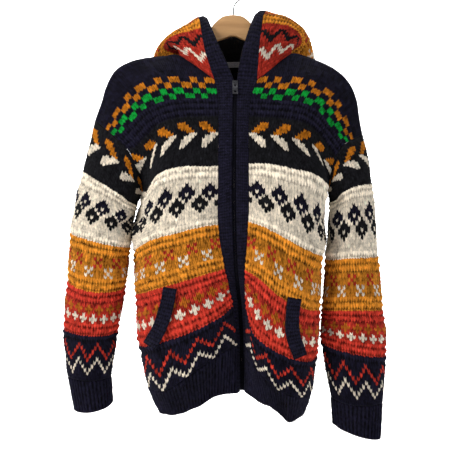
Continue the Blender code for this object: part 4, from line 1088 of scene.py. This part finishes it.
def wool_group():
    """Yarn: twisted plies along each leg of a stitch, a haze of fibres, and painted shade down in the
    grooves.
    """
    group = bpy.data.node_groups.new("wool yarn", "ShaderNodeTree")
    for name, kind, way in (
        ("Colour", "NodeSocketColor", "INPUT"),
        ("Ply", "NodeSocketVector", "INPUT"),
        ("Groove Shade", "NodeSocketFloat", "INPUT"),
        ("Fibre Scale", "NodeSocketFloat", "INPUT"),
        ("Colour", "NodeSocketColor", "OUTPUT"),
        ("Height", "NodeSocketFloat", "OUTPUT"),
    ):
        group.interface.new_socket(name=name, in_out=way, socket_type=kind)
    links = group.links
    inside = group.nodes.new("NodeGroupInput")
    outside = group.nodes.new("NodeGroupOutput")
    parts = add_node(group, "ShaderNodeSeparateXYZ")
    links.new(inside.outputs["Ply"], parts.inputs[0])
    across = maths(group, "MULTIPLY", parts.outputs[0], TWIST_ACROSS)
    along = maths(group, "MULTIPLY", parts.outputs[1], TWIST_ALONG)
    turns = maths(group, "MULTIPLY", maths(group, "ADD", along, across), 2 * math.pi)
    wave = maths(group, "SINE", turns, 0)
    place = add_node(group, "ShaderNodeTexCoord")
    fibres = add_node(group, "ShaderNodeTexNoise")
    fibres.inputs["Detail"].default_value = 4
    fibres.inputs["Roughness"].default_value = 0.65
    links.new(place.outputs["Object"], fibres.inputs["Vector"])
    links.new(inside.outputs["Fibre Scale"], fibres.inputs["Scale"])
    patches = add_node(group, "ShaderNodeTexNoise")
    patches.inputs["Scale"].default_value = 120
    patches.inputs["Detail"].default_value = 3
    links.new(place.outputs["Object"], patches.inputs["Vector"])
    height = maths(group, "ADD", maths(group, "MULTIPLY", wave, 0.25), fibres.outputs[0])
    # Painted shade: the lattice's third value, scaled by Groove Shade, darkens the colour in the grooves; the
    # flecks and patches are the yarn's own tone
    shade = maths(group, "MULTIPLY", parts.outputs[2], inside.outputs["Groove Shade"])
    fleck = maths(group, "MULTIPLY", maths(group, "SUBTRACT", fibres.outputs[0], 0.5), 0.9)
    patch = maths(group, "MULTIPLY", maths(group, "SUBTRACT", patches.outputs[0], 0.5), 0.8)
    light = maths(group, "ADD", maths(group, "ADD", fleck, patch), maths(group, "SUBTRACT", 1.0, shade))
    tint = add_node(group, "ShaderNodeVectorMath", operation="SCALE")
    links.new(inside.outputs["Colour"], tint.inputs[0])
    links.new(light, tint.inputs["Scale"])
    links.new(tint.outputs[0], outside.inputs["Colour"])
    links.new(height, outside.inputs["Height"])
    return group


def wool(name, group, shade, fibre_scale, sheen):
    """Dull yarn with a soft bump of plies and fibres. shade scales the painted shade in its grooves."""
    made, tree, shader = new_look(name)
    yarn = add_node(tree, "ShaderNodeAttribute", attribute_name="yarn")
    ply_and_shade = add_node(tree, "ShaderNodeAttribute", attribute_name="ply_and_shade")
    fibre = add_node(tree, "ShaderNodeGroup", node_tree=group)
    fibre.inputs["Groove Shade"].default_value = shade
    fibre.inputs["Fibre Scale"].default_value = fibre_scale
    bump = add_node(tree, "ShaderNodeBump")
    bump.inputs["Strength"].default_value = 0.6
    bump.inputs["Distance"].default_value = 0.0008
    tree.links.new(yarn.outputs["Color"], fibre.inputs["Colour"])
    tree.links.new(ply_and_shade.outputs["Vector"], fibre.inputs["Ply"])
    tree.links.new(fibre.outputs["Colour"], shader.inputs["Base Color"])
    tree.links.new(fibre.outputs["Height"], bump.inputs["Height"])
    tree.links.new(bump.outputs["Normal"], shader.inputs["Normal"])
    shader.inputs["Roughness"].default_value = 0.92
    shader.inputs["Specular IOR Level"].default_value = 0.06
    shader.inputs["Sheen Weight"].default_value = sheen
    shader.inputs["Sheen Roughness"].default_value = 0.55
    return made


def noisy(name, dark, light, scale, roughness, bump_height, stretch=(1, 1, 1), **constants):
    """A finish whose colour and relief wander between two tones."""
    made, tree, shader = new_look(name)
    place = add_node(tree, "ShaderNodeTexCoord")
    mapping = add_node(tree, "ShaderNodeMapping")
    mapping.inputs["Scale"].default_value = stretch
    grain = add_node(tree, "ShaderNodeTexNoise")
    grain.inputs["Scale"].default_value = scale
    grain.inputs["Detail"].default_value = 5
    grain.inputs["Roughness"].default_value = 0.6
    ramp = add_node(tree, "ShaderNodeValToRGB")
    ramp.color_ramp.elements[0].position = 0.32
    ramp.color_ramp.elements[1].position = 0.68
    ramp.color_ramp.elements[0].color = (*linear(dark), 1)
    ramp.color_ramp.elements[1].color = (*linear(light), 1)
    bump = add_node(tree, "ShaderNodeBump")
    bump.inputs["Strength"].default_value = 0.5
    bump.inputs["Distance"].default_value = bump_height
    tree.links.new(place.outputs["Object"], mapping.inputs["Vector"])
    tree.links.new(mapping.outputs["Vector"], grain.inputs["Vector"])
    tree.links.new(grain.outputs[0], ramp.inputs["Fac"])
    tree.links.new(ramp.outputs["Color"], shader.inputs["Base Color"])
    tree.links.new(grain.outputs[0], bump.inputs["Height"])
    tree.links.new(bump.outputs["Normal"], shader.inputs["Normal"])
    shader.inputs["Roughness"].default_value = roughness
    for socket, value in constants.items():
        shader.inputs[socket.replace("_", " ")].default_value = value
    return made


def set_view():
    """A long lens at the photograph's place."""
    camera = bpy.data.objects.new("view", bpy.data.cameras.new("view"))
    bpy.context.scene.collection.objects.link(camera)
    camera.location = (VIEW_CENTRE_X * MM, -VIEW_DISTANCE * MM, VIEW_CENTRE_Z * MM)
    camera.rotation_euler = (math.pi / 2, 0, 0)
    camera.data.sensor_width = SENSOR_WIDTH
    camera.data.lens = SENSOR_WIDTH * VIEW_DISTANCE / VIEW_WIDTH
    camera.data.clip_start, camera.data.clip_end = 0.05, 50
    bpy.context.scene.camera = camera


def set_lights():
    """Large soft lamps at both sides and above, one for the sweep, and a dim even world."""
    for name, place, size, power, colour in (
        ("key lamp", (-2.1, -2.2, 1.0), 1.3, 70, (1.0, 0.98, 0.95)),
        ("fill lamp", (2.0, -2.4, 0.0), 1.8, 20, (0.97, 0.98, 1.0)),
        ("top lamp", (0.0, -0.5, 1.9), 1.5, 12, (1.0, 1.0, 1.0)),
        ("sweep lamp", (0.0, 3.6, 3.4), 4.0, 900, (1.0, 1.0, 1.0)),
    ):
        lamp = bpy.data.lights.new(name, "AREA")
        lamp.shape, lamp.size, lamp.energy, lamp.color = "DISK", size, power, colour
        made = bpy.data.objects.new(name, lamp)
        bpy.context.scene.collection.objects.link(made)
        made.location = place
        made.visible_camera = False
        aim = Vector((0, SWEEP_BACK if name == "sweep lamp" else 0, AIM_HEIGHT)) - Vector(place)
        made.rotation_euler = aim.to_track_quat("-Z", "Y").to_euler()
    world = bpy.data.worlds.new("studio")
    world.use_nodes = True
    world.node_tree.nodes["Background"].inputs["Color"].default_value = (1, 1, 1, 1)
    world.node_tree.nodes["Background"].inputs["Strength"].default_value = 0.32
    bpy.context.scene.world = world
    bpy.context.scene.view_settings.view_transform = "Standard"


def pale_sweep():
    """The floor, which bends up behind the jacket."""
    sweep = [(SWEEP_FRONT, FLOOR)]
    for step in range(SWEEP_STEPS + 1):
        turn = math.radians(90 * step / SWEEP_STEPS)
        y = SWEEP_BACK + SWEEP_BEND * (math.sin(turn) - 1)
        sweep.append((y, FLOOR + SWEEP_BEND * (1 - math.cos(turn))))
    sweep.append((SWEEP_BACK, SWEEP_TOP))
    verts = [(x, y, z) for x in (-SWEEP_HALF_WIDTH, SWEEP_HALF_WIDTH) for y, z in sweep]
    count = len(sweep)
    faces = [(i, i + 1, i + 1 + count, i + count) for i in range(count - 1)]
    mesh = bpy.data.meshes.new("floor")
    mesh.from_pydata(verts, [], faces)
    look = noisy("pale floor", (0.955, 0.955, 0.955), (0.975, 0.975, 0.975), 3, 0.95, 0.0001)
    mesh.materials.append(look)
    mesh.polygons.foreach_set("use_smooth", np.ones(len(mesh.polygons), bool))
    floor = bpy.data.objects.new("floor", mesh)
    bpy.context.scene.collection.objects.link(floor)


def pocket_form(side, front_node):
    """The welt's surface: its own middle line, laid on the front that shows beside it."""
    column = 1 if side == "left" else 2
    line = np.array([[row[column][0], 0, row[column][1]] for row in POCKET_LINE], float)
    at = np.linspace(0, 1, WELT_STEPS)
    fine = smooth(arc_shares(line), line, at)
    along = unit(np.gradient(fine, axis=0))
    aside = np.stack([along[:, 2], along[:, 1], -along[:, 0]], axis=1)
    tree = BVHTree.FromObject(front_node, bpy.context.evaluated_depsgraph_get())
    columns = np.linspace(0, 1, WELT_COLUMNS)
    grid = np.zeros((len(at), len(columns), 3))
    for row in range(len(at)):
        for place, share in enumerate(columns):
            x, _, z = fine[row] + aside[row] * WELT_WIDTH * (0.5 - share)
            hit = tree.ray_cast(Vector((x * MM, LOOK_FROM, z * MM)), Vector((0, 1, 0)))[0]
            grid[row, place] = np.array(hit) / MM if hit else (x, grid[row - 1, place, 1], z)
    out = outward(grid, 1)
    if out[..., 1].mean() > 0:
        out = -out
    return Form(grid + (WELT_LIFT + WELT_WALL) * out, out, columns, at)


def fabrics():
    """The fabric of each knitted piece, in the order of their making: its stitches and its slot."""
    made = {}
    for side in ("left", "right"):
        made["front_" + side] = banded(BODY_BANDS, FRONT_STITCHES), "knit"
    made["back"] = banded(BODY_BANDS, BACK_STITCHES, BACK_STITCHES // 2, FRONT_STITCHES), "knit"
    front_ribs = 2 * round(HALF_CHEST / RIB_PITCH)
    back_ribs = 2 * round(2 * HALF_CHEST / RIB_PITCH)
    for side in ("left", "right"):
        made["sleeve_" + side] = banded(SLEEVE_BANDS, SLEEVE_STITCHES), "knit"
        made["hood_" + side] = banded(HOOD_BANDS, HOOD_STITCHES), "knit"
        made["hem_front_" + side] = ribbing(HEM_ROWS, front_ribs), "navy_knit"
        made["cuff_" + side] = ribbing(CUFF_ROWS, 2 * CUFF_RIBS), "navy_knit"
        made["front_band_" + side] = garter(BAND_ROWS, BAND_STITCHES), "navy_knit"
        made["hood_rim_" + side] = garter(RIM_ROWS, RIM_STITCHES), "navy_knit"
        made["pocket_welt_" + side] = garter(WELT_ROWS, WELT_STITCHES), "navy_knit"
    made["hem_back"] = ribbing(HEM_ROWS, back_ribs), "navy_knit"
    return made


def knit_garment():
    """Returns the fleece, which also lines the hood's stand."""
    forms = garment_forms()
    for side in ("left", "right"):
        forms["pocket_welt_" + side] = pocket_form(side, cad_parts["front_" + side])
    group = wool_group()
    wools = {
        "knit": wool("hand knit wool", group, 0.9, 520, 0.02),
        "navy_knit": wool("navy ribbed wool", group, 0.8, 520, 0.02),
    }
    fleece = noisy(
        "black fleece", (0.012, 0.012, 0.016), (0.05, 0.05, 0.06), 420, 1.0, 0.0012, Specular_IOR_Level=0.05
    )
    for name, (fabric, slot) in fabrics().items():
        looks = [wools[slot]]
        if name in ("hood_left", "hood_right"):
            looks.append(fleece)
        wall = WELT_WALL if "welt" in name else KNIT_WALL
        slim = "welt" in name or "band" in name or "rim" in name
        piece = knit(name, forms[name], fabric, looks, wall, BAND_RELIEF if slim else CLOTH_RELIEF)
        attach(piece, "jacket")
        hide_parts(name)
    return fleece


def clean_start():
    """Leaves edit mode and deselects everything."""
    if bpy.context.object and bpy.context.object.mode != "OBJECT":
        bpy.ops.object.mode_set(mode="OBJECT")
    bpy.ops.object.select_all(action="DESELECT")


def round_edges(piece, width, segments, angle):
    """Rounds the edges that turn by more than this many degrees, once the piece is finished."""
    edges = piece.modifiers.new("round edges", "BEVEL")
    edges.width, edges.segments, edges.limit_method = width * MM, segments, "ANGLE"
    edges.angle_limit = math.radians(angle)


def finish_piece(piece, look):
    """Applies a piece's modifiers in order, smooths it between its sharp edges and gives it its look."""
    for modifier in list(piece.modifiers):
        bpy.ops.object.modifier_apply(modifier=modifier.name)
    bpy.ops.object.shade_smooth_by_angle(angle=SHARP)
    piece.data.materials.clear()
    piece.data.materials.append(look)


def select_where(piece, test):
    """In edit mode, selects the faces whose centre and normal pass the test."""
    bpy.ops.mesh.select_all(action="DESELECT")
    mesh = bmesh.from_edit_mesh(piece.data)
    for face in mesh.faces:
        if test(face.calc_center_median(), face.normal):
            face.select_set(True)
    bmesh.update_edit_mesh(piece.data)


def arm_section(out):
    """The hanger's middle depth, top, foot and thickness this far out along its arm."""
    knots = [row[1] for row in HANGER_ARM]
    section = smooth(knots, [row[2:] for row in HANGER_ARM], [out])[0]
    section[2] = np.interp(out, knots, [row[4] for row in HANGER_ARM])
    return section


def wooden_hanger(look):
    """The hanger's body: a block drawn out station by station along one arm, mirrored, with round edges."""
    clean_start()
    _, top, foot, thick = arm_section(0)
    bpy.ops.mesh.primitive_cube_add(size=1, location=(0, 0, 0))
    piece = bpy.context.object
    piece.name = "hanger_wood"
    bpy.ops.object.mode_set(mode="EDIT")
    bpy.ops.mesh.select_mode(type="FACE")
    bpy.ops.mesh.select_all(action="SELECT")
    bpy.ops.transform.resize(value=(ARM_STEP * MM, thick * MM, (top - foot) * MM))
    bpy.ops.transform.translate(value=(ARM_STEP / 2 * MM, 0, (top + foot) / 2 * MM))
    last = (0.0, top, foot, thick)
    for step in range(1, round(HANGER_ARM[-1][1] / ARM_STEP)):
        middle, top, foot, thick = arm_section(step * ARM_STEP)
        end = step * ARM_STEP * MM
        select_where(piece, lambda centre, normal: normal.x > FACING and centre.x > end - NEAR)
        move = (ARM_STEP * MM, (middle - last[0]) * MM, ((top + foot) - (last[1] + last[2])) / 2 * MM)
        bpy.ops.mesh.extrude_region_move(TRANSFORM_OT_translate={"value": move})
        place = (end + ARM_STEP * MM, middle * MM, (top + foot) / 2 * MM)
        scale = (1, thick / last[3], (top - foot) / (last[1] - last[2]))
        bpy.ops.transform.resize(value=scale, center_override=place)
        last = (middle, top, foot, thick)
    select_where(piece, lambda centre, normal: normal.x < -FACING and centre.x < NEAR)
    bpy.ops.mesh.delete(type="FACE")
    bpy.ops.object.mode_set(mode="OBJECT")
    mirror = piece.modifiers.new("other arm", "MIRROR")
    mirror.merge_threshold = 0.0001
    round_edges(piece, ARM_ROUND, 4, 50)
    finish_piece(piece, look)
    piece.rotation_euler.y = HANGER_TILT
    bpy.ops.object.transform_apply(rotation=True)
    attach(piece, "jacket")
    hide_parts("hanger_body")


def softened(node, name, look, body, width):
    """A hard piece's own shape with its edges rounded by this width."""
    clean_start()
    piece = bpy.data.objects.new(name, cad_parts[node].data.copy())
    bpy.context.scene.collection.objects.link(piece)
    bpy.context.view_layer.objects.active = piece
    piece.select_set(True)
    bpy.ops.object.mode_set(mode="EDIT")
    bpy.ops.mesh.select_all(action="SELECT")
    bpy.ops.mesh.remove_doubles(threshold=0.00001)
    bpy.ops.mesh.dissolve_limited(angle_limit=math.radians(2))
    bpy.ops.object.mode_set(mode="OBJECT")
    round_edges(piece, width, 3, 30)
    finish_piece(piece, look)
    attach(piece, body)
    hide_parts(node)


def zip_line():
    """The zip's centre line as a curve, at the middle of its chain's depth, and its length in millimetres."""
    rows = np.linspace(NECK_ROW + TEETH_START, ROW_HEM - TEETH_END, TEETH_POINTS)
    line = smooth([r[1] for r in ZIP_LINE], [r[2] for r in ZIP_LINE], rows)
    path = bpy.data.curves.new("zip line", "CURVE")
    path.dimensions, path.twist_mode = "3D", "MINIMUM"
    spline = path.splines.new("POLY")
    spline.points.add(len(line) - 1)
    for point, place in zip(spline.points, line):
        point.co = (place[0] * MM, (place[1] + CHAIN_BACK - CHAIN_WALL / 2) * MM, place[2] * MM, 1)
    made = bpy.data.objects.new("zip line", path)
    bpy.context.scene.collection.objects.link(made)
    return made, np.linalg.norm(np.diff(line, axis=0), axis=1).sum()


def zip_teeth(look):
    """The closed zip: a pair of teeth, repeated in an array that follows the zip's line."""
    path, length = zip_line()
    clean_start()
    bpy.ops.mesh.primitive_cube_add(size=1, location=(0, 0, 0))
    piece = bpy.context.object
    piece.name = "zip_teeth"
    bpy.ops.object.mode_set(mode="EDIT")
    bpy.ops.mesh.select_all(action="SELECT")
    bpy.ops.transform.resize(value=(TOOTH_HEIGHT * MM, TOOTH_WIDTH * MM, TOOTH_DEPTH * MM))
    bpy.ops.mesh.bevel(offset=TOOTH_EDGE * MM, segments=1, affect="EDGES")
    bpy.ops.mesh.select_all(action="SELECT")
    bpy.ops.transform.translate(value=(TOOTH_PITCH / 4 * MM, -TOOTH_SIDE * MM, 0))
    other = (TOOTH_PITCH / 2 * MM, 2 * TOOTH_SIDE * MM, 0)
    bpy.ops.mesh.duplicate_move(TRANSFORM_OT_translate={"value": other})
    bpy.ops.object.mode_set(mode="OBJECT")
    row = piece.modifiers.new("row of teeth", "ARRAY")
    row.use_relative_offset, row.use_constant_offset = False, True
    row.constant_offset_displace = (TOOTH_PITCH * MM, 0, 0)
    row.count = int(length / TOOTH_PITCH)
    follow = piece.modifiers.new("along the zip", "CURVE")
    follow.object, follow.deform_axis = path, "POS_X"
    finish_piece(piece, look)
    bpy.data.objects.remove(path)
    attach(piece, "jacket")
    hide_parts("zip_chain")


def zip_and_trim(fleece):
    """The zip, the hanger, and the looks of the tapes, the lining, the label and the hook."""
    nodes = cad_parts
    tape = noisy(
        "woven zip tape", (0.06, 0.056, 0.095), (0.09, 0.085, 0.13), 900, 0.9, 0.0003, Specular_IOR_Level=0.1
    )
    label = noisy("woven label", (0.40, 0.40, 0.42), (0.56, 0.56, 0.58), 700, 0.8, 0.0002)
    metal = noisy("gunmetal", (0.26, 0.26, 0.28), (0.38, 0.38, 0.40), 260, 0.3, 0.0001, Metallic=1.0)
    coil = noisy(
        "navy zip coil", (0.05, 0.048, 0.085), (0.09, 0.085, 0.13), 260, 0.7, 0.0001, Specular_IOR_Level=0.12
    )
    wire = noisy("plated wire", (0.18, 0.18, 0.19), (0.28, 0.28, 0.29), 180, 0.4, 0.00005, Metallic=1.0)
    wood = noisy(
        "lacquered wood", (0.66, 0.49, 0.31), (0.78, 0.61, 0.41), 60, 0.42, 0.0002, (0.09, 1, 1),
        Coat_Weight=0.25, Coat_Roughness=0.3,
    )
    for side in ("left", "right"):
        nodes["zip_tape_" + side].data.materials[0] = tape
        nodes["hood_lining_" + side].data.materials[0] = fleece
    nodes["neck_label"].data.materials[0] = label
    nodes["hanger_hook"].data.materials[0] = wire
    zip_teeth(coil)
    softened("zip_slider", "slider_body", metal, "jacket", SLIDER_EDGE)
    softened("zip_pull", "pull_tab", metal, "pull", PULL_EDGE)
    wooden_hanger(wood)


set_view()
zip_and_trim(knit_garment())
set_lights()
pale_sweep()
